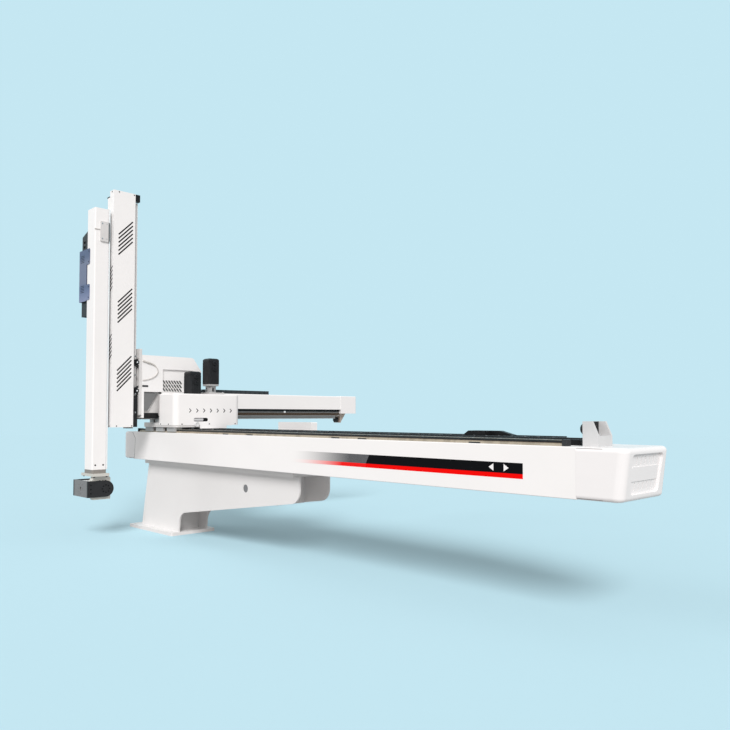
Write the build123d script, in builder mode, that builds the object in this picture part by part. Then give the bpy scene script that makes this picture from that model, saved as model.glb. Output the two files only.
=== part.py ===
"""An injection moulding manipulator: a cross beam on a pedestal, a carriage with a kick beam,
and a two-stage lifting arm with a flip wrist. X runs along the cross beam, Y points to the
back and Z points up. The origin is at the middle of the underside of the pedestal's flange.
Every size is in millimetres."""

from build123d import *
from math import acos, atan2, cos, degrees, hypot, pi, radians, sin, sqrt, tan
import os

os.makedirs("parts", exist_ok=True)

# Clearances between mating pieces
slide_gap = 0.3
shaft_gap = 0.05
belt_gap = 0.3
gear_backlash = 0.8
seat_gap = 0.3

# Linear guides, large on the beam, the kick beam and the mast, small on the arm
rail_width = 28
rail_height = 26
guide_height = 42
block_width = 60
block_height = 34
small_rail_width = 20
small_rail_height = 18
small_guide_height = 30
small_block_width = 40
small_block_height = 24

# Gears: every rack and pinion has the same tooth size
tooth_module = 5
pinion_teeth = 20
gear_width = 20
rack_back = 20
pinion_shaft_radius = 17
pinion_lift = 3

# Pedestal
flange_length = 693
flange_width = 386
flange_thickness = 25
flange_corner = 12
bolt_end_inset = 46.5
bolt_side_inset = 33
bolt_bore = 26
web_thickness = 12
pedestal_width = 256
web_height = 511.5
foot_left_inset = 94.5
foot_right_inset = 8.5
shoulder_left = 144
arm_reach = 1812
arm_end_height = 162
arm_root_height = 365
arm_root_inset = 16
arm_end_radius = 90
arm_root_radius = 95
column_web_x = 218
bulkhead_x = 1557
web_hole_x = 1228
web_hole_drop = 111.5
web_hole_radius = 27.5
top_plate_thickness = 32
top_plate_width = 324
top_plate_left = 145
top_plate_right = 1788

# Cross beam
beam_width = 420
beam_height = 223.5
beam_wall = 8
beam_corner = 4
beam_left = 248
beam_right = 3757
left_cap_length = 182
right_cap_length = 228
right_cap_undercut = 28
cap_wall = 5
cap_plan_radius = 40
cap_edge_radius = 20
cap_panel_recess = 12
cap_panel_width = 300
cap_panel_margin = 26
cap_panel_slant = 84
cap_groove_width = 7
cap_groove_pitch = 40
cap_groove_length = 34
cap_plate_width = 250
cap_plate_height = 61
cap_plate_corner = 8
seam_gap = 0.3

# Traverse axis on top of the beam
traverse_rail_y = 165
traverse_rail_left = 213
traverse_rail_right = 3680
rail_stop_length = 20
rail_stop_height = 28
traverse_rack_left = 200
traverse_rack_right = 3707
rack_foot = 5
traverse_pitch_y = -44
stop_inset = 5
stop_width = 129
stop_near_edge = 8
stop_length = 72
stop_height = 108
stop_block_height = 46
stop_plate_thickness = 14
stop_gusset_thickness = 12
stop_gusset_flat = 45
bumper_radius = 24
bumper_length = 37
bumper_height = 74
left_stop_x = 200

# Cable tray behind the beam
tray_width = 85
tray_height = 100
tray_left = 80
tray_right = 3430
tray_wall = 4
tray_rim = 28
chain_width = 60
chain_height = 36
chain_left = 60
chain_right = 2060
chain_link_pitch = 50
chain_link_gap = 6
chain_link_depth = 4
loop_cover_left = 2987
loop_cover_flat = 57
loop_cover_length = 146
loop_cover_height = 22
loop_cover_gap = 7
terminal_left = 918
terminal_length = 391
terminal_front = 388
terminal_leg = 14
terminal_leg_height = 70
terminal_depth = 58
terminal_height = 150
terminal_top = 83
terminal_corner = 6

# Carriage
plate_left = 88
plate_back = 255
plate_thickness = 35
plate_corner = 8
traverse_block_length = 120
traverse_block_places = (-82, 90, 265)
cover_left = 156
cover_front = 210
cover_right = 410
cover_back = 382
cover_bottom_lift = 15
cover_height = 245
cover_wall = 3
cover_corner = 42
cover_top_radius = 10
cover_slot_length = 128
cover_slot_height = 28
cover_slot_y = 18
cover_slot_lift = 43
cover_hole_gap = 3
chain_bracket_front = 10
chain_bracket_drop = 11
chain_bracket_thickness = 4
chain_bracket_foot = 40
chain_bracket_reach = 52

# Servo motors, alike for the traverse and the kick
motor_size = 100
motor_corner = 12
motor_body_height = 195
motor_cap_height = 28
motor_cap_inset = 5
motor_groove_width = 4
motor_groove_depth = 2.5
motor_groove_count = 6
motor_plug_size = 30
motor_plug_height = 26
motor_plug_depth = 14
motor_plug_pitch = 44
traverse_motor_x = 300
traverse_motor_sink = 24
gearbox_radius = 45
gearbox_bore_depth = 40
shaft_end_gap = 2
shaft_hole_gap = 2
gearbox_flange_size = 98
gearbox_flange_thickness = 14
kick_motor_x = 196
kick_motor_y = 239
kick_motor_rise = 88
kick_flange_thickness = 15
neck_radius = 42.5
neck_window_width = 24
neck_window_height = 34
neck_wall = 7
motor_base_length = 136
motor_base_front = 74
motor_base_back = 71
motor_base_left = 42
motor_base_thickness = 18
motor_post_radius = 8
motor_post_left = 26
motor_post_right = 76
motor_post_front = 61
motor_post_back = 7
bearing_radius = 40
bearing_drop = 134
kick_shaft_gap = 10

# Kick axis
kick_rail_spacing = 88
kick_spacer = 10
kick_front_block = -190
kick_rear_block = 115
kick_block_length = 120
kick_stop_thickness = 20
kick_block_width = 50
kick_stop_rise = 36
kick_beam_left = 20
kick_beam_width = 148
kick_beam_height = 179
kick_beam_wall = 6
kick_beam_front = 330
kick_beam_back = 1740
kick_rail_back = 1700
kick_rack_front = 140
kick_rack_back = 1730
kick_rack_lift = 7
kick_pitch_x = 146
kick_cover_overlap = 10
kick_cover_side = 22
kick_cover_top_gap = 8
kick_cover_wall = 3
kick_cover_height = 129
kick_cover_front = 180
kick_cover_radius = 8
kick_cap_length = 208
kick_cap_side = 3
kick_cap_bottom = 23
kick_cap_top = 193
kick_cap_radius = 14
kick_bumper_radius = 25
kick_bumper_length = 34
kick_bumper_drop = 38
kick_bumper_edge = 4
kick_stop_width = 90
kick_stop_plate = 16
kick_stop_foot = 60
kick_stop_lip = 10
kick_chain_front = 178
kick_chain_back = 902
kick_chain_x = 60
kick_chain_width = 86
kick_chain_height = 32

# Front bracket and lift plate
front_flange_thickness = 17
front_flange_drop = 193
front_flange_rise = 31
front_flange_right = 150
front_bar_thickness = 20
front_bar_back = 180
front_gusset_thickness = 12
front_gusset_depth = 120
front_gusset_foot = 40
front_gusset_drop = 140
front_spacer_width = 110
lift_plate_thickness = 21
lift_plate_left = 130
lift_plate_right = 146
lift_plate_drop = 172
lift_plate_rise = 343
lift_plate_corner = 6
lift_window_left = 104
lift_window_right = 133
lift_block_length = 100
lower_lift_block_inset = 17
upper_lift_block_inset = 3

# Lift motor cover
motor_cover_half = 150
motor_cover_back = 175
motor_cover_step = 170
motor_cover_rise = 296
motor_cover_wall = 3
motor_cover_slope_length = 75
motor_cover_slope_drop = 108
motor_cover_recess = 14
motor_cover_recess_drop = 105
motor_cover_recess_height = 176
motor_cover_recess_back = 100
motor_cover_radius = 12
vent_rows = 3
vent_columns = 7
vent_width = 8
vent_rise = 26
vent_run = 20
vent_pitch_y = 24
vent_pitch_z = 31
vent_middle_y = -80
vent_lift = 45

# Lift belt drive
idler_radius = 23
idler_spacing = 221
idler_window_gap = 6
idler_rise = 126.5
idler_bore = 8
drive_pulley_radius = 38
pulley_width = 22
pulley_left = 107
belt_thickness = 4
belt_width = 20
ear_thickness = 6
lift_gearbox_right = 96
lift_gearbox_length = 90
lift_gearbox_size = 90
lift_motor_length = 130
lift_shaft_radius = 12

# Motor wire beside the cover: points (y, height over the belt drive) and a bend at each inner one
wire_radius = 3
wire_bush = 10
wire_route = [(-334, 99.5), (-252, 67.5), (-215, 23.5), (-250, -19.5), (-334, -39.5)]
wire_bends = [30, 34, 30]

# Mast, the first lift stage
mast_left = 60
mast_right = 131
mast_depth = 170
mast_drop = 265
mast_length = 1810
mast_wall = 9
mast_web_x = 60
mast_cover_thickness = 4
mast_flange_width = 64
slot_groups = 3
slots_in_group = 6
slot_first_drop = 222
slot_group_pitch = 521
slot_pitch = 31
slot_width = 8
slot_rise = 116
slot_run = 114
slot_middle_y = -487
flange_slot_groups = 2
flange_slot_drop = 583
flange_slot_rise = 37
flange_slot_run = 44
flange_slot_x = 104
mast_top_cut = 45
mast_notch_height = 100
mast_notch_depth = 42
mast_notch_right = 20
mast_rail_x = -28
mast_rail_spacing = 92
mast_rail_end_gap = 5
belt_guard_left = 98
belt_guard_width = 5
belt_guard_depth = 34
mast_stop_size = 40
mast_stop_width = 35
mast_stop_height = 55
mast_foot_height = 9
arm_block_length = 80
lower_arm_block_rise = 25
upper_arm_block_rise = 325

# Transfer belt inside the mast
transfer_pulley_radius = 60
transfer_pulley_bore = 10
transfer_end_gap = 90
transfer_pulley_width = 24
transfer_pulley_left = 76

# Arm tube, the second lift stage
tube_left = 17
tube_width = 135
tube_depth = 111
tube_gap = 30
tube_overhang = 313
tube_length = 1964
tube_wall = 5
tube_radius = 10
arm_rail_spacing = 44
arm_rail_end_gap = 8
tube_hole_radius = 5
tube_hole_pitch = 60
tube_hole_rise = 34
clamp_thickness = 12
clamp_width = 61
clamp_height = 151
clamp_drop = 251
clamp_corner = 5
clamp_front_gap = 39
channel_width = 124
channel_depth = 80
channel_length = 664
channel_drop = 140
channel_wall = 3
channel_slope = 45
channel_hole_pitch = 36
channel_hole_height = 18
channel_hole_width = 29
channel_hole_corner = 3
channel_hole_count = 5
valve_box_width = 128
valve_box_back = 640
valve_box_height = 395
valve_box_drop = 298
valve_tab_reach = 55
valve_tab_height = 119
valve_tab_inset = 5
valve_tab_corner = 12
valve_wall = 4
adapter_height = 28

# Wrist and flip unit
wrist_flange_left = 52
wrist_flange_right = 154
wrist_flange_front = 728
wrist_flange_back = 602
wrist_flange_thickness = 20
hanger_left = 78
hanger_thickness = 42
hanger_front = 722
hanger_back = 578
hanger_reach = 80
hanger_step = 16
pivot_y = -621
pivot_drop = 142
pivot_radius = 30
cheek_gap = 2
cheek_thickness = 18
cheek_height = 120
cheek_length = 137
cheek_span = 261
cheek_bolt_circle = 25
cheek_bolt_radius = 4
cheek_bolt_count = 8
cheek_front_holes = 3
cheek_front_pitch = 36
cheek_front_hole = 3
cheek_front_inset = 8
tool_plate_thickness = 15
tool_bolt_circle = 80
tool_bolt_count = 8
tool_bolt_bore = 9
tool_centre_bore = 30
actuator_left = 25
actuator_height = 110
actuator_front = 113
actuator_back = 20
actuator_top = 58
actuator_nose = 30
actuator_heel = 100
actuator_shoulder = 2
pivot_stub = 40
sweep_radius = 119

# Places that follow from the sizes above
foot_left = flange_length / 2 - foot_left_inset
foot_right = flange_length / 2 - foot_right_inset
bolt_pitch = flange_length / 2 - bolt_end_inset
bolt_row_spacing = flange_width - 2 * bolt_side_inset
web_top = flange_thickness + web_height
beam_bottom = web_top + top_plate_thickness
beam_top = beam_bottom + beam_height
web_hole_z = web_top - web_hole_drop
plate_bottom = beam_top + guide_height
plate_top = plate_bottom + plate_thickness
kick_bottom = plate_top + kick_spacer + guide_height
kick_top = kick_bottom + kick_beam_height
kick_right = kick_beam_width - kick_beam_left
kick_middle = (kick_right - kick_beam_left) / 2
gear_z = kick_bottom + kick_rack_lift
pitch_radius = tooth_module * pinion_teeth / 2
tip_radius = pitch_radius + tooth_module
traverse_motor_y = traverse_pitch_y + pitch_radius
half_beam = beam_width / 2
half_pedestal = pedestal_width / 2
tray_top = beam_top + tray_rim
plate_front = cover_front - cover_wall - seat_gap
plate_right = cover_right - cover_wall - seat_gap
cover_bottom = plate_bottom + cover_bottom_lift
cover_top = cover_bottom + cover_height
traverse_motor_z = cover_top - traverse_motor_sink
kick_motor_z = cover_top + kick_motor_rise
kick_bumper_z = kick_bottom - kick_bumper_drop
flange_back = kick_beam_front
flange_front = flange_back + front_flange_thickness
lift_plate_front = flange_front + lift_plate_thickness
front_flange_bottom = kick_top - front_flange_drop
front_flange_top = kick_top + front_flange_rise
front_gusset_bottom = kick_top - front_gusset_drop
lift_plate_bottom = kick_top - lift_plate_drop
lift_plate_top = kick_top + lift_plate_rise
lower_lift_block_z = lift_plate_bottom + lower_lift_block_inset
upper_lift_block_z = lift_plate_top - upper_lift_block_inset - lift_block_length
motor_cover_top = kick_top + motor_cover_rise
motor_cover_recess_top = motor_cover_top - motor_cover_recess_drop
motor_cover_recess_bottom = motor_cover_recess_top - motor_cover_recess_height
vent_middle_z = motor_cover_recess_bottom + vent_lift
idler_middle_z = kick_top + idler_rise
mast_bottom = kick_top - mast_drop
mast_top = mast_bottom + mast_length
slot_first_z = mast_top - slot_first_drop
flange_slot_z = mast_top - flange_slot_drop
mast_front_top = mast_top - mast_top_cut
lower_arm_block_z = mast_bottom + lower_arm_block_rise
upper_arm_block_z = mast_bottom + upper_arm_block_rise
mast_back = lift_plate_front + guide_height
mast_front = mast_back + mast_depth
tube_back = mast_front + tube_gap
tube_front = tube_back + tube_depth
tube_bottom = mast_bottom - tube_overhang
tube_top = tube_bottom + tube_length
tube_hole_z = tube_bottom + tube_hole_rise
clamp_bottom = tube_top - clamp_drop
channel_top = tube_top - channel_drop
channel_bottom = channel_top - channel_length
valve_box_top = tube_top - valve_box_drop
valve_box_bottom = valve_box_top - valve_box_height
pivot_z = tube_bottom - pivot_drop
hanger_bottom = pivot_z - hanger_reach
tube_right = tube_width - tube_left
hanger_right = hanger_left + hanger_thickness
large_guide = (rail_width, rail_height, guide_height, block_width, block_height)
small_guide = (small_rail_width, small_rail_height, small_guide_height, small_block_width,
               small_block_height)


def start_plane(axis, low, high):
    """The plane across an axis from which a piece runs from low to high."""
    if axis == "y":
        return Plane.XZ.offset(-high)
    if axis == "x":
        return Plane.YZ.offset(low)
    return Plane.XY.offset(low)


def bar(x, y, z, mode=Mode.ADD):
    """A straight bar that fills the ranges x, y and z."""
    with BuildSketch(Plane.XY.offset(z[0])) as section:
        with Locations(((x[0] + x[1]) / 2, (y[0] + y[1]) / 2)):
            Rectangle(x[1] - x[0], y[1] - y[0])
    extrude(section.sketch, amount=z[1] - z[0], mode=mode)


def prism(axis, low, high, points, radii=0, mode=Mode.ADD):
    """An outline of corner points, each with its own radius, extruded along an axis."""
    with BuildSketch(start_plane(axis, low, high)) as section:
        with BuildLine():
            if radii:
                FilletPolyline(*points, radius=radii, close=True)
            else:
                Polyline(*points, close=True)
        make_face()
    extrude(section.sketch, amount=high - low, mode=mode)


def rounded_bar(axis, low, high, u, v, radius, mode=Mode.ADD):
    """A bar whose section across the axis is a rectangle with round corners."""
    with BuildSketch(start_plane(axis, low, high)) as section:
        with Locations(((u[0] + u[1]) / 2, (v[0] + v[1]) / 2)):
            RectangleRounded(u[1] - u[0], v[1] - v[0], radius)
    extrude(section.sketch, amount=high - low, mode=mode)


def rods(axis, low, high, centres, radius, mode=Mode.ADD):
    """Round bars, or round holes, at each centre, along an axis."""
    with BuildSketch(start_plane(axis, low, high)) as section:
        with Locations(*centres):
            Circle(radius)
    extrude(section.sketch, amount=high - low, mode=mode)


def slots(axis, low, high, centres, length, width, angle, mode=Mode.SUBTRACT):
    """Slots with round ends, turned by an angle, cut along an axis."""
    with BuildSketch(start_plane(axis, low, high)) as section:
        with Locations(*centres):
            SlotOverall(length, width, rotation=angle)
    extrude(section.sketch, amount=high - low, mode=mode)


def save(piece, name):
    """Label a finished piece and write it to its own file."""
    piece.part.label = name
    export_step(piece.part, f"parts/{name}.step")


def involute_angle(radius):
    """Half the angle that a pinion tooth spans at a radius."""
    pressure = radians(20)
    base_radius = pitch_radius * cos(pressure)
    local = acos(base_radius / radius)
    drift = tan(pressure) - pressure - (tan(local) - local)
    return pi / (2 * pinion_teeth) - gear_backlash / (4 * pitch_radius) + drift


def pinion_outline(first_gap):
    """Corner points of a pinion that has a tooth gap at the angle first_gap, in degrees."""
    root_radius = pitch_radius - 1.25 * tooth_module
    base_radius = pitch_radius * cos(radians(20)) + 0.01
    points = []
    for tooth in range(pinion_teeth):
        middle = radians(first_gap) + (tooth + 0.5) * 2 * pi / pinion_teeth
        flank = (base_radius, pitch_radius, tip_radius)
        sides = [(root_radius, involute_angle(base_radius))]
        sides += [(radius, involute_angle(radius)) for radius in flank]
        for radius, half in sides:
            points.append((radius * cos(middle - half), radius * sin(middle - half)))
        for radius, half in reversed(sides):
            points.append((radius * cos(middle + half), radius * sin(middle + half)))
    return points


def rack_outline(first, last, back, tooth_at):
    """Corner points of a rack along the first axis, with teeth on its high side, so that
    a tooth stands at tooth_at and the pitch line lies at zero."""
    pitch = pi * tooth_module
    slope = tan(radians(20))
    root = -1.25 * tooth_module
    tip = tooth_module
    half = pitch / 4 - gear_backlash / 4
    half_root = half - slope * root
    half_tip = half - slope * tip
    low_tooth = int((first - tooth_at + half_root) // pitch) + 1
    high_tooth = int((last - tooth_at - half_root) // pitch)
    points = [(last, back), (first, back), (first, root)]
    for tooth in range(low_tooth, high_tooth + 1):
        middle = tooth_at + tooth * pitch
        points += [(middle - half_root, root), (middle - half_tip, tip)]
        points += [(middle + half_tip, tip), (middle + half_root, root)]
    return points + [(last, root)]


# Pedestal weldment: flange, two side plates, webs between them and the top plate
inner_half = half_pedestal - web_thickness
side_outline = [
    (-foot_left, flange_thickness),
    (-shoulder_left, web_top),
    (arm_reach, web_top),
    (arm_reach, web_top - arm_end_height),
    (foot_right + arm_root_inset, web_top - arm_root_height),
    (foot_right, flange_thickness),
]
side_radii = [0, 0, 0, arm_end_radius, arm_root_radius, 0]
under_slope = (arm_root_height - arm_end_height) / (arm_reach - foot_right - arm_root_inset)


def under_edge(x):
    """Height of the arm's sloping lower edge at x."""
    return web_top - arm_end_height - under_slope * (arm_reach - x)


with BuildPart() as pedestal:
    with BuildSketch():
        RectangleRounded(flange_length, flange_width, flange_corner)
        with GridLocations(bolt_pitch, bolt_row_spacing, 3, 2):
            Circle(bolt_bore / 2, mode=Mode.SUBTRACT)
    extrude(amount=flange_thickness)
    for low in (-half_pedestal, inner_half):
        prism("y", low, low + web_thickness, side_outline, side_radii)
    left_web = [
        (-foot_left, flange_thickness),
        (-foot_left + web_thickness, flange_thickness),
        (-shoulder_left + web_thickness, web_top),
        (-shoulder_left, web_top),
    ]
    prism("y", -inner_half, inner_half, left_web)
    column_web = (column_web_x - web_thickness / 2, column_web_x + web_thickness / 2)
    bar(column_web, (-inner_half, inner_half), (flange_thickness, web_top))
    lower_web = [
        (column_web[1], under_edge(column_web[1])),
        (bulkhead_x, under_edge(bulkhead_x)),
        (bulkhead_x, under_edge(bulkhead_x) + web_thickness),
        (column_web[1], under_edge(column_web[1]) + web_thickness),
    ]
    prism("y", -inner_half, inner_half, lower_web)
    bulkhead = (bulkhead_x - web_thickness / 2, bulkhead_x + web_thickness / 2)
    bar(bulkhead, (-inner_half, inner_half), (under_edge(bulkhead[0]), web_top))
    rods("y", -half_pedestal, -inner_half, [(web_hole_x, web_hole_z)], web_hole_radius,
         mode=Mode.SUBTRACT)
    half_top = top_plate_width / 2
    bar((-top_plate_left, top_plate_right), (-half_top, half_top), (web_top, beam_bottom))
save(pedestal, "pedestal")

# Cross beam: a rectangular tube
beam_middle = beam_bottom + beam_height / 2
with BuildPart() as beam:
    with BuildSketch(start_plane("x", -beam_left, beam_right)):
        with Locations((0, beam_middle)):
            RectangleRounded(beam_width, beam_height, beam_corner)
            Rectangle(beam_width - 2 * beam_wall, beam_height - 2 * beam_wall,
                      mode=Mode.SUBTRACT)
    extrude(amount=beam_left + beam_right)
save(beam, "cross_beam")

# Right end cap: a hollow moulding with slanting end, recessed panel and grip grooves
with BuildPart() as right_cap:
    cap_start = beam_right + seam_gap
    cap_end = beam_right + right_cap_length
    side = [
        (cap_start, beam_bottom),
        (cap_start, beam_top),
        (cap_end, beam_top),
        (cap_end - right_cap_undercut, beam_bottom),
    ]
    prism("y", -half_beam, half_beam, side)
    far_face = right_cap.faces().sort_by(Axis.X)[-1]
    upright = far_face.edges().filter_by(Axis.Y, reverse=True)
    fillet(upright, cap_plan_radius)
    end_rim = right_cap.faces().sort_by(Axis.X)[-1].edges()
    fillet(end_rim, cap_edge_radius)
    lean = degrees(atan2(right_cap_undercut, beam_height))
    end_plane = Plane(
        origin=(cap_end - right_cap_undercut / 2, 0, beam_middle),
        x_dir=(0, 1, 0),
        z_dir=(cos(radians(lean)), 0, -sin(radians(lean))),
    )
    panel_height = beam_height - 2 * cap_panel_margin
    with BuildSketch(end_plane) as panel:
        Trapezoid(cap_panel_width, panel_height, cap_panel_slant, rotation=180)
        fillet(panel.vertices(), cap_edge_radius)
    extrude(amount=-cap_panel_recess, mode=Mode.SUBTRACT)
    panel_plane = end_plane.offset(-cap_panel_recess)
    with BuildSketch(panel_plane):
        RectangleRounded(cap_plate_width, cap_plate_height, cap_plate_corner)
    extrude(amount=cap_panel_recess / 3)
    groove_y = (cap_plate_height + cap_groove_length) / 2 + cap_groove_width
    with BuildSketch(panel_plane):
        with GridLocations(cap_groove_pitch, 2 * groove_y, 5, 2):
            SlotOverall(cap_groove_length, cap_groove_width, rotation=90)
    extrude(amount=-cap_panel_recess / 2, mode=Mode.SUBTRACT)
    hollow_y = half_beam - cap_wall
    hollow_z = (beam_bottom + cap_wall, beam_top - cap_wall)
    hollow_end = cap_end - right_cap_undercut - 2 * cap_plan_radius
    bar((cap_start, hollow_end), (-hollow_y, hollow_y), hollow_z, mode=Mode.SUBTRACT)
save(right_cap, "end_cap_right")

# Left end cap: the same kind of moulding with larger rounds and a plain end
with BuildPart() as left_cap:
    cap_stop = -beam_left - seam_gap
    cap_tip = -beam_left - left_cap_length
    bar((cap_tip, cap_stop), (-half_beam, half_beam), (beam_bottom, beam_top))
    end_face = left_cap.faces().sort_by(Axis.X)[0]
    fillet(end_face.edges().filter_by(Axis.Z), cap_plan_radius)
    fillet(left_cap.faces().sort_by(Axis.X)[0].edges(), cap_edge_radius)
    hollow_tip = cap_tip + 2 * cap_plan_radius
    bar((hollow_tip, cap_stop), (-hollow_y, hollow_y), hollow_z, mode=Mode.SUBTRACT)
save(left_cap, "end_cap_left")

# Two guide rails on top of the beam, with a groove along each side
rail_profile = [
    (-rail_width / 2, 0),
    (rail_width / 2, 0),
    (rail_width / 2, rail_height * 0.35),
    (rail_width / 2 - 4, rail_height * 0.5),
    (rail_width / 2, rail_height * 0.72),
    (rail_width / 2, rail_height),
    (-rail_width / 2, rail_height),
    (-rail_width / 2, rail_height * 0.72),
    (-rail_width / 2 + 4, rail_height * 0.5),
    (-rail_width / 2, rail_height * 0.35),
]
with BuildPart() as traverse_rails:
    for rail_y in (-traverse_rail_y, traverse_rail_y):
        section = [(rail_y + u, beam_top + v) for u, v in rail_profile]
        prism("x", -traverse_rail_left, traverse_rail_right, section)
save(traverse_rails, "traverse_rails")

# Rack of the traverse axis, with its teeth towards the back
with BuildPart() as traverse_rack:
    rack_points = rack_outline(-traverse_rack_left, traverse_rack_right,
                               -1.25 * tooth_module - rack_back, traverse_motor_x)
    rack_points = [(x, traverse_pitch_y + v) for x, v in rack_points]
    prism("z", beam_top, beam_top + gear_width + rack_foot, rack_points)
save(traverse_rack, "traverse_rack")

# Open cable tray along the back of the beam, with a cover over the chain's far loop
tray_front = half_beam
tray_back = half_beam + tray_width
with BuildPart() as tray:
    tray_floor = tray_top - tray_height
    tray_outline = [
        (tray_front, tray_top),
        (tray_front, tray_floor),
        (tray_back, tray_floor),
        (tray_back, tray_top),
        (tray_back - tray_wall, tray_top),
        (tray_back - tray_wall, tray_floor + tray_wall),
        (tray_front + tray_wall, tray_floor + tray_wall),
        (tray_front + tray_wall, tray_top),
    ]
    prism("x", -tray_left, tray_right, tray_outline)
    loop_end = loop_cover_left + loop_cover_length
    loop_outline = [
        (loop_cover_left, tray_top),
        (loop_cover_left, tray_top + loop_cover_height),
        (loop_cover_left + loop_cover_flat, tray_top + loop_cover_height),
        (loop_end, tray_top),
    ]
    prism("y", plate_back + loop_cover_gap, tray_back, loop_outline)
save(tray, "cable_tray")

# Drag chain lying in the tray: one body with the gaps between its links cut in
with BuildPart() as chain:
    chain_front = tray_front + (tray_width - chain_width) / 2
    chain_z = (tray_floor + tray_wall, tray_floor + tray_wall + chain_height)
    bar((chain_left, chain_right), (chain_front, chain_front + chain_width), chain_z)
    link_count = int((chain_right - chain_left) // chain_link_pitch)
    with BuildSketch(Plane.XY.offset(chain_z[1])):
        with Locations(((chain_left + chain_right) / 2, chain_front + chain_width / 2)):
            with GridLocations(chain_link_pitch, 0, link_count, 1):
                Rectangle(chain_link_gap, chain_width - 2 * chain_link_depth)
    extrude(amount=-chain_link_depth, mode=Mode.SUBTRACT)
save(chain, "traverse_cable_chain")

# Terminal box behind the tray, on two legs that leave room for the carriage's cover
with BuildPart() as terminal_box:
    terminal_right = terminal_left + terminal_length
    box_top = beam_top + terminal_top
    rounded_bar("y", terminal_front, terminal_front + terminal_depth,
                (terminal_left, terminal_right), (box_top - terminal_height, box_top), terminal_corner)
    leg_z = (box_top - terminal_height + terminal_corner,
             box_top - terminal_height + terminal_leg_height)
    for leg in (terminal_left + 2 * terminal_leg, terminal_right - 3 * terminal_leg):
        bar((leg, leg + terminal_leg), (tray_back, terminal_front), leg_z)
save(terminal_box, "terminal_box")

# Stop brackets at both ends of the beam: a plate, two gussets and a foot block
stop_x = beam_right - stop_inset
stop_top = beam_top + stop_height
gusset_outline = [
    (0, beam_top),
    (0, stop_top),
    (stop_gusset_flat, stop_top),
    (stop_length, beam_top + stop_block_height),
    (stop_length, beam_top),
]
with BuildPart() as stop_brackets:
    for side, foot in ((1, stop_x), (-1, -left_stop_x + stop_length)):
        near = -stop_near_edge - stop_width if side > 0 else stop_near_edge
        span = (near, near + stop_width)
        plate_x = sorted((foot, foot + side * stop_plate_thickness))
        bar(plate_x, span, (beam_top, stop_top))
        outline = [(foot + side * x, z) for x, z in gusset_outline]
        prism("y", span[0], span[0] + stop_gusset_thickness, outline)
        prism("y", span[1] - stop_gusset_thickness, span[1], outline)
        block_x = sorted((foot, foot + side * stop_length))
        bar(block_x, span, (beam_top, beam_top + stop_block_height))
save(stop_brackets, "traverse_stop_brackets")

# Rubber bumpers on the stop brackets, and the black blocks that close the rails' ends
with BuildPart() as end_stops:
    bumper_z = beam_top + bumper_height
    for side, foot in ((1, stop_x), (-1, -left_stop_x + stop_length)):
        middle_y = -side * (stop_near_edge + stop_width / 2)
        x = sorted((foot, foot - side * bumper_length))
        rods("x", x[0], x[1], [(middle_y, bumper_z)], bumper_radius)
    rims = end_stops.edges().filter_by(GeomType.CIRCLE).sort_by(Axis.X)
    chamfer(rims[1:3], bumper_radius / 4)
    for rail_y in (-traverse_rail_y, traverse_rail_y):
        for x in (traverse_rail_right, -traverse_rail_left - rail_stop_length):
            bar((x, x + rail_stop_length), (rail_y - block_width / 3, rail_y + block_width / 3),
                (beam_top, beam_top + rail_stop_height))
save(end_stops, "traverse_end_stops")

# Carriage plate with the hole that the traverse pinion's shaft passes through
with BuildPart() as carriage_plate:
    plate_corners = [
        (-plate_left, -plate_front),
        (plate_right, -plate_front),
        (plate_right, plate_back),
        (-plate_left, plate_back),
    ]
    prism("z", plate_bottom, plate_top, plate_corners,
          [plate_corner, cover_corner, 0, plate_corner])
    traverse_here = [(traverse_motor_x, traverse_motor_y)]
    rods("z", plate_bottom, plate_top, traverse_here, pinion_shaft_radius + shaft_hole_gap,
         mode=Mode.SUBTRACT)
save(carriage_plate, "carriage_plate")


def guide_block(axis, low, high, middle, seat, side, guide=large_guide):
    """A guide block along an axis, hooked round its rail. The rail's foot stands on
    the seat, and side is 1 where the block lies on the positive side of the seat."""
    guide_rail_width, guide_rail_height, total, width, height = guide
    half = width / 2
    inner = guide_rail_width / 2 + slide_gap
    near = total - height
    points = [
        (middle - half, seat + side * near),
        (middle - inner, seat + side * near),
        (middle - inner, seat + side * (guide_rail_height + slide_gap)),
        (middle + inner, seat + side * (guide_rail_height + slide_gap)),
        (middle + inner, seat + side * near),
        (middle + half, seat + side * near),
        (middle + half, seat + side * total),
        (middle - half, seat + side * total),
    ]
    prism(axis, low, high, points)


# Six guide blocks under the carriage plate
with BuildPart() as traverse_blocks:
    for rail_y in (-traverse_rail_y, traverse_rail_y):
        for x in traverse_block_places:
            guide_block("x", x, x + traverse_block_length, rail_y, beam_top, 1)
save(traverse_blocks, "traverse_guide_blocks")

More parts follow.
